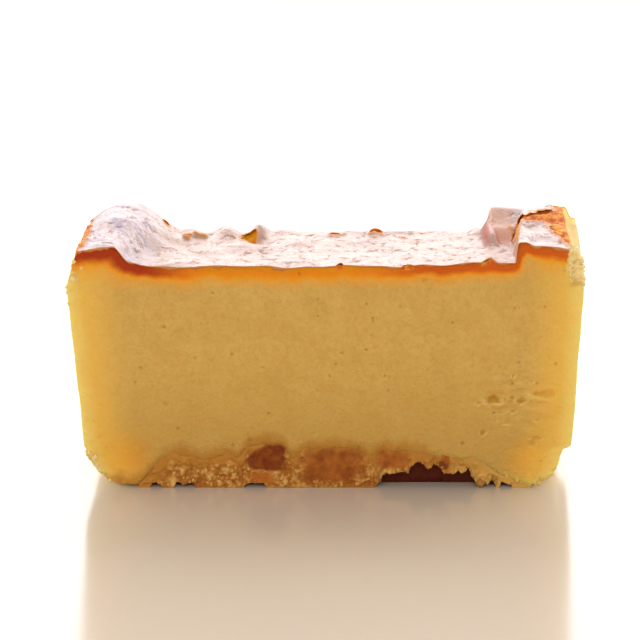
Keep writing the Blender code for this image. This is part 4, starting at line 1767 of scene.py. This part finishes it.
@dataclass
class CrustSkin:
    """The thin browned skin on top, wrinkled and cracked, with torn patches and a ragged edge."""

    across: int = 400
    deep: int = 108
    thickness: float = 0.09
    lip: float = 0.36
    curl: float = 0.24
    patches: tuple[Spot, ...] = (
        Spot(-13.5, 0.80, 1.1, 2.1, 0.15),
        Spot(1.7, 0.0, 1.0, 0.7, 0.10),
        Spot(1.2, 0.90, 0.8, 2.2, 0.05),
        Spot(8.1, 0.93, 0.9, 2.2, 0.06),
        Spot(12.6, 0.80, 0.9, 1.5, 0.05),
        Spot(12.6, 0.0, 1.0, 1.2, 0.07),
        Spot(25.5, 0.0, 1.0, 1.2, 0.07),
        Spot(-40.9, 0.55, 1.0, 2.1, 0.85),
        Spot(-27.6, 0.95, 0.9, 1.0, 0.06),
        Spot(38.8, 0.98, 1.0, 2.2, 0.22),
    )
    flakes: tuple[Spot, ...] = (
        Spot(-23.9, 0.80, 1.4, 1.2, 0.09),
        Spot(-21.6, 0.86, 1.4, 1.9, 0.07),
    )
    stripe: Spot = Spot(-23.6, 0.95, 1.0, 3.4, 0.08)
    stripe_span: Span = (0.2, 0.6)
    split: tuple[Triple, ...] = (
        (30.6, 0.60, 0.9),
        (32.8, 0.71, 3.6),
        (36.0, 0.74, 4.6),
        (38.2, 0.62, 4.4),
        (38.4, 0.40, 3.2),
        (38.6, 0.22, 2.2),
        (39.2, 0.08, 1.0),
    )
    right_end: tuple[float, float] = (39.5, 37.6)
    end_in: tuple[float, float] = (0.2, 0.1)
    ragged: tuple[float, float] = (0.9, 0.8)
    curl_span: Span = (0.12, 0.5)
    flake_span: Span = (0.3, 0.9)
    flake_lift: float = 0.5
    past_cut: float = 0.05

    @classmethod
    def bareness(cls, x: Array, share: Array) -> Array:
        """1 in the middle of a torn patch, under 0.5 where the skin is whole.

        Args:
            x: each point's x.
            share: each point's depth share.

        Returns:
            One value for each point.
        """
        torn = largest([spot.rise(x, share) for spot in cls.patches])
        y = FORM.y(share)
        for first, last in zip(cls.split, cls.split[1:]):
            start, end = (np.array([p[0], FORM.y(p[1])]) for p in (first, last))
            way = end - start
            along = np.clip(((x - start[0]) * way[0] + (y - start[1]) * way[1]) / way.dot(way), 0, 1)
            away = np.hypot(x - start[0] - along * way[0], y - start[1] - along * way[1])
            torn = np.maximum(torn, 1.1 - 0.6 * away / blend(first[2], last[2], along) * 2)
        end = blend(*cls.right_end, ease(0.1, 0.5, share)) + 1.6 * hump(share, 0.98, 0.25)
        torn = np.maximum(torn, ease(-0.6, 0.6, x - end))
        return np.clip(torn, 0, 1.2) + 0.30 * rough(x, y, 61.0, 0.9) * (torn > 0.02)

    def _sheet(self) -> Thing:
        """Makes the skin's upper surface, without its torn patches.

        Returns:
            The painted sheet.
        """
        rows, columns = self.deep + 1, self.across + 1
        share = np.repeat(np.linspace(0, 1, rows)[:, None], columns, axis=1)
        x = CustardBody().columns(share)
        left, right = x[:, :1], x[:, -1:]
        x = blend(left + self.end_in[0], right - self.end_in[1], (x - left) / (right - left))
        y = FORM.y(share)
        bareness = self.bareness(x, share)
        amount, length = self.ragged
        ragged = 1 + amount * rough(x, y, 67.0, length)
        flake = ease(*self.flake_span, sum(spot.rise(x, share) for spot in self.flakes) * ragged)
        z = FORM.crust(x, share) + self.curl * ease(*self.curl_span, bareness) + self.flake_lift * flake
        uneven = 0.35 + rough(x[0], 0.0, 83.0, 2.4) + 0.4 * rough(x[0], 0.0, 97.0, 0.6)
        droop = self.lip * np.clip(uneven, 0.12, None)
        y[0], y[-1] = y[0] - self.past_cut, y[-1] + self.past_cut
        z[0] -= droop
        z[-1] -= droop[::-1]
        y[1], y[-2] = y[0], y[-1]
        points = np.stack([x, y, z], axis=-1)
        quads = grid_faces(rows, columns, flip=True)
        whole = bareness.reshape(-1)[quads].mean(axis=1) < 0.5
        thing = mesh_object(Piece.CRUST.value, FORM.pushed(points.reshape(-1, 3)), quads[whole])
        stripe = ease(*self.stripe_span, self.stripe.rise(x, share) * ragged)
        self._paint(thing, x, z, share, {"bareness": bareness, "flake": flake, "stripe": stripe})
        return self._tidy(thing)

    @staticmethod
    def _paint(thing: Thing, x: Array, z: Array, share: Array, marks: dict[str, Array]) -> None:
        """Paints what the crust's finish and relief read.

        Args:
            thing: the sheet.
            x: each point's x.
            z: each point's height.
            share: each point's depth share.
            marks: how bare each point is, and where the flakes and the salmon stripe lie.
        """
        height = FORM.crust(x, share)
        slope = np.gradient(height, axis=1) / np.maximum(np.gradient(x, axis=1), 1e-3)
        dip = np.gradient(height, axis=0) / np.gradient(FORM.y(share), axis=0)
        wall = hump(x, FORM.right_edge + FORM.right_edge_lean * share - 0.3, 1.5)
        corner = wall * hump(share, 0.45, 0.30) * ease(39.2, 40.2, z)
        torn = [0.9 * ease(0.22, 0.5, marks["bareness"]), 1.3 * corner, 0.85 * marks["flake"]]
        # painted sheen: the inner block painted paler and pinker, where it would catch the gloss
        inner = ease(25.6, 26.6, x) * (1 - ease(30.2, 31.2, x)) * ease(0.56, 0.64, share)
        inner = inner * blend(1.0, 0.6, ease(0.72, 0.80, share))
        # painted shade: the inner block's left wall and its foot
        fold = 0.8 * hump(x, 26.2, 1.2) * ease(0.40, 0.55, share)
        fold = fold + 0.7 * hump(x, 27.9, 0.8) * hump(share, 0.58, 0.14)
        rows = np.arange(len(x))[:, None]
        at_cut = np.minimum(rows, len(x) - 1 - rows) < 2
        looks = {
            "steep": ease(0.9, 2.4, np.hypot(slope, dip)),
            "torn": np.clip(largest(torn), 0, 0.9),
            "salmon_and_painted_sheen": np.maximum(inner, marks["stripe"]),
            "fold": np.clip(fold, 0, 0.8),
            "edge": np.maximum(at_cut, 0.75 * marks["flake"]),
            # lump places the painted reflection, and the ridges of the relief
            "lump": np.maximum(1 - ease(-32.0, -26.0, x), 0.45 * ease(28.0, 31.0, x)),
        }
        for name, values in looks.items():
            paint(thing, name, values.reshape(-1))

    @staticmethod
    def _tidy(thing: Thing) -> Thing:
        """Drops vertices with no face and rounds off the torn edges' steps.

        Args:
            thing: the sheet.

        Returns:
            The same sheet.
        """
        body = bmesh.new()
        body.from_mesh(thing.data)
        bmesh.ops.delete(body, geom=[v for v in body.verts if not v.link_faces], context="VERTS")
        rim = {v for v in body.verts if v.is_boundary and abs(v.co.y) < (FORM.depth / 2 - 0.5) * MM}
        for _ in range(3):
            moved = {}
            for vert in rim:
                near = [e.other_vert(vert).co for e in vert.link_edges if e.is_boundary]
                moved[vert] = (vert.co + sum(near, Vector()) / len(near)) / 2
            for vert, place in moved.items():
                vert.co = place
        body.to_mesh(thing.data)
        body.free()
        return thing

    def _relief(self, material: Material) -> Tree:
        """Makes the tree that wrinkles and cracks the skin.

        Args:
            material: the crust's finish.

        Returns:
            The tree.
        """
        sizes = {"Wrinkle height": 0.00014, "Wrinkle scale": 950.0, "Crease height": 0.00030,
                 "Crack depth": 0.00016, "Crack scale": 520.0, "Fold height": 0.00030, "Rib height": 0.0010}
        tree = Tree.geometry("crust_relief", {name: (Kind.NUMBER, size) for name, size in sizes.items()})
        entry, place = tree.entry, tree.place()
        stretched = tree.vector("MULTIPLY", place, (0.8, 0.7, 1.0))
        ridge = tree.ridges(stretched, entry["Wrinkle scale"], 3.0, 0.6)
        # real ridges of the skin's relief, without painted shade
        fold = tree.ridges(CrustFinish.along_slope(tree, place), 520.0, 3.0, 0.6)
        shaken = tree.shaken(place, 500.0, 3.0, 0.003)
        edge = tree.cells(shaken, entry["Crack scale"], "DISTANCE_TO_EDGE")["Distance"]
        some = tree.spread(tree.noise(place, 520.0, 2.0), 0.53, 0.60)
        crack = tree.times(tree.spread(edge, 0.02, 0.10, 1.0, 0.0), some)
        crack = tree.times(crack, tree.math("MULTIPLY_ADD", tree.painted("salmon_and_painted_sheen"), -0.9, 1.0))
        runs = tree.noise(tree.vector("MULTIPLY", place, (1.0, 1.0, 0.22)), 1100.0, 3.0, 0.6)
        parts = (
            (tree.times(2.0, tree.less(0.12, ridge)), "Wrinkle height"),
            (tree.times(2.0, tree.less(0.12, fold), tree.painted("lump")), "Fold height"),
            (tree.less(tree.noise(place, 300.0, 3.0), 0.5), "Crease height"),
            (tree.times(crack, -1.0), "Crack depth"),
            (tree.times(tree.less(runs, 0.5), tree.painted("steep")), "Rib height"),
        )
        height = tree.summed((part, entry[size]) for part, size in parts)
        inward = tree.less(FORM.depth / 2 * MM, tree.math("ABSOLUTE", tree.xyz(place)[1]))
        height = tree.times(height, tree.spread(inward, 0.0, 0.0009, 0.25, 1.0))
        shape = tree.stored(tree.raised(entry["Shape"], height), "crack", crack)
        tree.finish_shape(shape, material)
        return tree

    def build(self, material: Material) -> Thing:
        """Makes the skin and hands it over.

        Args:
            material: the crust's finish.

        Returns:
            The finished piece.
        """
        thing = grow(self._sheet(), self._relief(material))
        wall = thing.modifiers.new("thickness", "SOLIDIFY")
        wall.thickness, wall.offset, wall.use_rim = self.thickness * MM, -1.0, True
        settle(thing)
        hand_over(thing, "custard")
        return thing


@dataclass
class CrumbScatter:
    """Crumbs of a few shapes set all over a surface, as thickly as a painted mask says."""

    name: Piece
    mask: str
    density: float
    small: float
    large: float
    seed: int
    sink: float = 0.2
    shapes: int = 5

    @staticmethod
    def _crumb(tree: Tree, number: int) -> Socket:
        """One crumb of unit size with its own lumps.

        Args:
            tree: the tree it is made in.
            number: which of the shapes it is.

        Returns:
            The crumb.
        """
        ball = tree.add("GeometryNodeMeshIcoSphere", None, Radius=1.0, Subdivisions=2)[0]
        at = tree.vector("ADD", tree.place(), (3.7 * number, 1.3 * number, 5.1 * number))
        lump = tree.less(tree.noise(at, 1.3, 3.0, 0.75), 0.5)
        return tree.raised(ball, tree.times(lump, 2.6))

    def _tree(self, material: Material) -> Tree:
        """Makes the tree that scatters the crumbs.

        Args:
            material: the crumbs' finish.

        Returns:
            The tree.
        """
        sizes = {"Density": (Kind.NUMBER, 1.0), "Smallest": (Kind.NUMBER, 0.2), "Largest": (Kind.NUMBER, 0.6),
                 "Sink": (Kind.NUMBER, 0.2), "Seed": (Kind.WHOLE, 0)}
        tree = Tree.geometry(f"scatter_{self.name.value}", sizes)
        entry, seed = tree.entry, tree.entry["Seed"]
        amount = tree.times(tree.most(tree.painted(self.mask), 0.0), entry["Density"])
        spots = tree.add("GeometryNodeDistributePointsOnFaces", {"distribute_method": "RANDOM"},
                         Mesh=entry["Shape"], Density=amount, Seed=seed)
        lumps = tree.tree.nodes.new("GeometryNodeGeometryToInstance")
        for number in range(self.shapes):
            tree.tree.links.new(self._crumb(tree, number), lumps.inputs[0])
        pick = tree.random(Draw.WHOLE, seed, Min=0, Max=self.shapes - 1)
        spin = tree.vector("SCALE", tree.random(Draw.VECTOR, seed), math.tau)
        chance = tree.random(Draw.NUMBER, tree.math("ADD", seed, 5.0))
        size = tree.spread(tree.math("POWER", chance, 1.7), 0.0, 1.0, entry["Smallest"], entry["Largest"])
        down = tree.vector("SCALE", spots["Normal"], tree.times(size, entry["Sink"], -1.0))
        height = tree.xyz(tree.place())[2]
        lift = tree.most(tree.less(tree.times(size, 1.15), height), 0.0)
        shift = tree.vector("ADD", down, tree.add("ShaderNodeCombineXYZ", None, _2=lift)[0])
        moved = tree.add("GeometryNodeSetPosition", None, Geometry=spots["Points"], Offset=shift)[0]
        seed_of_squash = tree.math("ADD", seed, 3.0)
        squash = tree.random(Draw.VECTOR, seed_of_squash, Min=(0.6, 0.6, 0.6), Max=(1.25, 1.25, 1.25))
        made = tree.add("GeometryNodeInstanceOnPoints", None, Points=moved, Instance=lumps.outputs[0],
                        Pick_Instance=True, Instance_Index=pick, Rotation=spin,
                        Scale=tree.vector("SCALE", squash, size))[0]
        tone = tree.random(Draw.NUMBER, tree.math("ADD", seed, 9.0))
        tree.finish_shape(tree.stored(made, "tone", tone, "INSTANCE"), material)
        return tree

    def build(self, ground: Thing, material: Material, slot: str) -> Thing:
        """Scatters the crumbs and hands them over.

        Args:
            ground: the piece that the crumbs lie on, with the mask painted on it.
            material: the crumbs' finish.
            slot: not used.

        Returns:
            The finished piece.
        """
        thing = bpy.data.objects.new(self.name.value, ground.data.copy())
        bpy.context.scene.collection.objects.link(thing)
        thing.data.materials.clear()
        grow(thing, self._tree(material), Density=self.density / MM**2, Smallest=self.small * MM,
             Largest=self.large * MM, Sink=self.sink, Seed=self.seed)
        hand_over(thing)
        return thing


@dataclass
class BiscuitBase:
    """The pressed crumb base: a lumpy core that shows larger biscuit pieces, under loose grains."""

    across: int = 400
    deep: int = 44
    tall: int = 38
    rise: float = 0.9
    tuck: float = 0.16
    proud: float = 0.07

    @staticmethod
    def _from_ends(x: Array) -> Array:
        """Distance from the nearer end of the base."""
        return np.minimum(x - FORM.base_ends[0], FORM.base_ends[1] - x)

    def _top_height(self, x: Array, share: Array) -> Array:
        """The core's top: a little above the base's line, so that it ends inside the custard."""
        return FORM.base(x, share) + self.rise * ease(0.0, 3.0, self._from_ends(x))

    def _end(self, along: Array, share: Array, side: int) -> Walls:
        """One of the two low ends."""
        x = np.full_like(along, FORM.base_ends[side])
        return x, blend(FORM.floor(x, share), self._top_height(x, share), along)

    def top(self, along: Array, share: Array) -> Walls:
        """The base's top."""
        x = blend(*FORM.base_ends, along)
        return x, self._top_height(x, share)

    def under(self, along: Array, share: Array) -> Walls:
        """The base's underside, with the bites out of it."""
        x = blend(*FORM.base_ends, along)
        return x, FORM.floor(x, share)

    def left(self, along: Array, share: Array) -> Walls:
        """The low left end."""
        return self._end(along, share, 0)

    def right(self, along: Array, share: Array) -> Walls:
        """The low right end."""
        return self._end(along, share, 1)

    @staticmethod
    def _pieces(x: Array, y: Array, z: Array) -> tuple[Array, Array]:
        """Where the larger biscuit pieces show at the cuts.

        Args:
            x: each point's x.
            y: distances from its middle.
            z: each point's height.

        Returns:
            How much of each point a piece covers, from 0 to 1, and that piece's tone.
        """
        cover, tone = np.zeros_like(x), np.zeros_like(x)
        ragged = 0.12 * rough(x, z, y, 1.6) + 0.06 * rough(x, z, y + 9.0, 0.5)
        for chunk in FORM.chunks:
            here = chunk.cover(x, z, ragged) * ((y < 0) == chunk.front)
            tone = np.where(here > cover, chunk.tone, tone)
            cover = np.maximum(cover, here)
        return cover, tone

    def _tuck_in(self, thing: Thing) -> None:
        """Stands each cut face just proud of the custard's, its top led back inside on a wandering line.

        Args:
            thing: the core.
        """
        points = points_of(thing)
        x, y, z = points.T
        cut = np.abs(y) > FORM.depth / 2 - 0.01
        above = z - FORM.base(x, np.clip(FORM.share(y), 0, 1)) + 0.8 * rough(x, z, y, 1.6)
        out = self.proud * ease(1.0, 6.0, self._from_ends(x))
        back = blend(-out, self.tuck, ease(-0.6, self.rise, above))
        points[:, 1] -= np.where(cut, np.sign(y) * back, 0.0)
        move_points(thing, points)

    def _paint(self, thing: Thing) -> None:
        """Paints where the base is open to view, where grains lie, its tone, and painted shade in the bites out
        of its underside.

        Args:
            thing: the core.
        """
        points = points_of(thing)
        x, y, z = points.T
        share = np.clip(FORM.share(y), 0, 1)
        cut = np.abs(y) > FORM.depth / 2 - 0.01
        floor = FORM.floor(x, share)
        bite = np.zeros(len(points), bool)
        for gap in FORM.gaps:
            bite |= (x > gap.left) & (x < gap.right) & (share < gap.share + 0.05)
        bite &= ~cut & (z < floor + 0.3)
        below = FORM.base(x, share) - z + 0.7 * rough(x, z, y + 5.0, 1.4)
        ends = self._from_ends(x) + 1.5 * rough(x, z, 3.0, 1.5)
        cover, tone = self._pieces(x, y, z)
        loose = cut * ease(0.0, 1.6, below) * (1 - 0.9 * cover)
        paint(thing, "open", np.maximum(loose, 0.6 * bite) * ease(0.0, 0.5, z))
        paint(thing, "grainy", loose * (z > 0.12))
        soaked = np.maximum(1 - ease(0.5, 2.9, below), 1 - ease(2.0, 6.0, ends))
        paint(thing, "soaked", cut * soaked)
        paint(thing, "tone", np.full(len(points), 0.45))
        paint(thing, "piece", cover * cut)
        paint(thing, "piece tone", tone)
        # painted shade: the bites out of the underside
        paint(thing, "hollow", bite)

    def _relief(self, material: Material) -> Tree:
        """Makes the tree that makes the open faces lumpy, and stores a painted highlight and shade: lighter on
        raised crumbs, darker in the crevices.

        Args:
            material: the core's finish.

        Returns:
            The tree.
        """
        sizes = {"Lump height": (Kind.NUMBER, 0.0009), "Grain height": (Kind.NUMBER, 0.0005)}
        tree = Tree.geometry("crumb_relief", sizes)
        entry, shaken = tree.entry, tree.shaken(tree.place(), 900.0, 2.0, 0.0012)
        clod = tree.less(0.45, tree.cells(shaken, 560.0)["Distance"])
        crumb = tree.less(0.42, tree.cells(shaken, 1500.0)["Distance"])
        height = tree.summed(((clod, entry["Lump height"]), (crumb, entry["Grain height"])))
        shape = tree.raised(entry["Shape"], tree.times(height, tree.painted("open")))
        # painted highlight and shade: high on the raised crumbs, low in the crevices
        tone = tree.summed(((crumb, 0.9), (clod, 0.7)))
        tree.finish_shape(tree.stored(shape, "lump", tone), material)
        return tree

    def build(self, material: Material) -> Thing:
        """Makes the core and hands it over.

        Args:
            material: the core's finish.

        Returns:
            The finished piece.
        """
        walls = (self.top, self.under, self.left, self.right)
        thing = Patchwork(self.across, self.deep, self.tall, *walls).build(Piece.BASE.value)
        self._paint(thing)
        self._tuck_in(thing)
        grow(thing, self._relief(material))
        hand_over(thing, "crumb_base")
        return thing


@dataclass(frozen=True)
class SoftLight:
    """A rectangular soft light aimed at the slice."""

    name: str
    place: Triple
    size: tuple[float, float]
    radiance: float
    colour: Colour = (1.0, 1.0, 1.0)

    AIM: ClassVar[Triple] = (0.0, 0.0, 0.02)

    def build(self) -> None:
        """Hangs the light."""
        lamp = bpy.data.lights.new(self.name, "AREA")
        lamp.shape, lamp.size, lamp.size_y = "RECTANGLE", *self.size
        lamp.energy = self.radiance * math.pi * self.size[0] * self.size[1]
        lamp.color = self.colour
        hung = bpy.data.objects.new(self.name, lamp)
        hung.location = self.place
        way = Vector(self.AIM) - Vector(self.place)
        hung.rotation_euler = way.to_track_quat("-Z", "Y").to_euler()
        bpy.context.scene.collection.objects.link(hung)


@dataclass
class Studio:
    """A pale glossy floor, soft lights from behind, and the camera in front of the cut."""

    camera_place: Triple = (-0.00156, -0.411, 0.1505)
    pitch: float = 16.89
    lens: float = 144.4
    world: float = 0.38
    world_colour: Colour = (0.97, 0.985, 1.0)
    floor_colours: tuple[Colour, Colour] = ((0.68, 0.62, 0.54), (0.70, 0.64, 0.56))
    floor_reach: float = 6000.0
    floor_under: float = 0.02
    lights: tuple[SoftLight, ...] = field(
        default_factory=lambda: (
            SoftLight("back_softbox", (0.05, 0.80, 0.54), (1.5, 1.0), 2.45, (1.0, 0.915, 0.915)),
            SoftLight("left_softbox", (-0.85, 0.25, 0.30), (0.8, 0.6), 2.8),
            SoftLight("right_softbox", (0.85, 0.30, 0.30), (0.8, 0.6), 3.2),
            SoftLight("front_fill", (-0.1, -0.9, 0.50), (1.2, 0.7), 1.9, (1.0, 0.85, 0.69)),
        )
    )

    def _floor(self) -> None:
        """Lays a wide pale floor with a soft gloss, a hair under the slice."""
        tree = Tree.material("pale_floor")
        cloud = tree.noise(tree.place(), 9.0, 2.0)
        colour = tree.mix(tree.spread(cloud, 0.3, 0.7), *self.floor_colours)
        reach, height = self.floor_reach, -self.floor_under
        corners = ((-1, -1), (1, -1), (1, 1), (-1, 1))
        points = np.array([[across * reach, along * reach, height] for across, along in corners])
        floor = mesh_object("floor", points, np.array([[0, 1, 2, 3]]))
        floor.data.materials.append(tree.dress(Base_Color=colour, Roughness=0.16, IOR=2.4))

    def build(self) -> None:
        """Sets up floor, lights, world, colour and camera."""
        self._floor()
        for light in self.lights:
            light.build()
        scene = bpy.context.scene
        scene.view_settings.view_transform = "Standard"
        world = bpy.data.worlds.new("studio")
        world.use_nodes = True
        background = world.node_tree.nodes["Background"].inputs
        background["Color"].default_value = (*self.world_colour, 1.0)
        background["Strength"].default_value = self.world
        scene.world = world
        data = bpy.data.cameras.new("camera")
        data.sensor_width, data.lens = 36.0, self.lens
        data.clip_start, data.clip_end = 0.01, 30.0
        camera = bpy.data.objects.new("camera", data)
        camera.location = self.camera_place
        camera.rotation_euler = (math.radians(90 - self.pitch), 0.0, 0.0)
        scene.collection.objects.link(camera)
        scene.camera = camera


def main() -> None:
    """Builds the slice and the studio."""
    logging.basicConfig(level=logging.INFO, format="%(message)s")
    pores, grain = speckle_group(), grain_group()
    custard = CustardFinish().make(pores, grain)
    crust = CrustFinish().make(grain)
    core = BiscuitFinish(
        "biscuit_core", light=(0.88, 0.54, 0.16), dark=(0.42, 0.150, 0.020), right=(0.72, 0.44, 0.105)
    )
    crumb = BiscuitFinish(
        "biscuit_crumb", light=(0.80, 0.47, 0.13), dark=(0.44, 0.175, 0.026), right=(0.70, 0.42, 0.10),
        scale=1200.0, subsurface=0.0,
    )
    torn = BiscuitFinish(
        "custard_crumb", light=(0.98, 0.66, 0.19), dark=(0.80, 0.42, 0.07), right=(0.86, 0.56, 0.15),
        scale=1200.0, subsurface=0.0,
    )
    body = CustardBody().build(custard)
    CrustSkin().build(crust)
    crumbs = CrumbScatter(Piece.CUSTARD_CRUMBS, "crumby", density=1.3, small=0.12, large=0.50, seed=11)
    crumbs.build(body, torn.make(grain), "custard")
    base = BiscuitBase().build(core.make(grain))
    grains = CrumbScatter(Piece.GRAINS, "grainy", density=1.5, small=0.14, large=0.72, seed=5, sink=0.72)
    grains.build(base, crumb.make(grain), "biscuit_crumb")
    Studio().build()


if __name__ == "__main__":
    main()
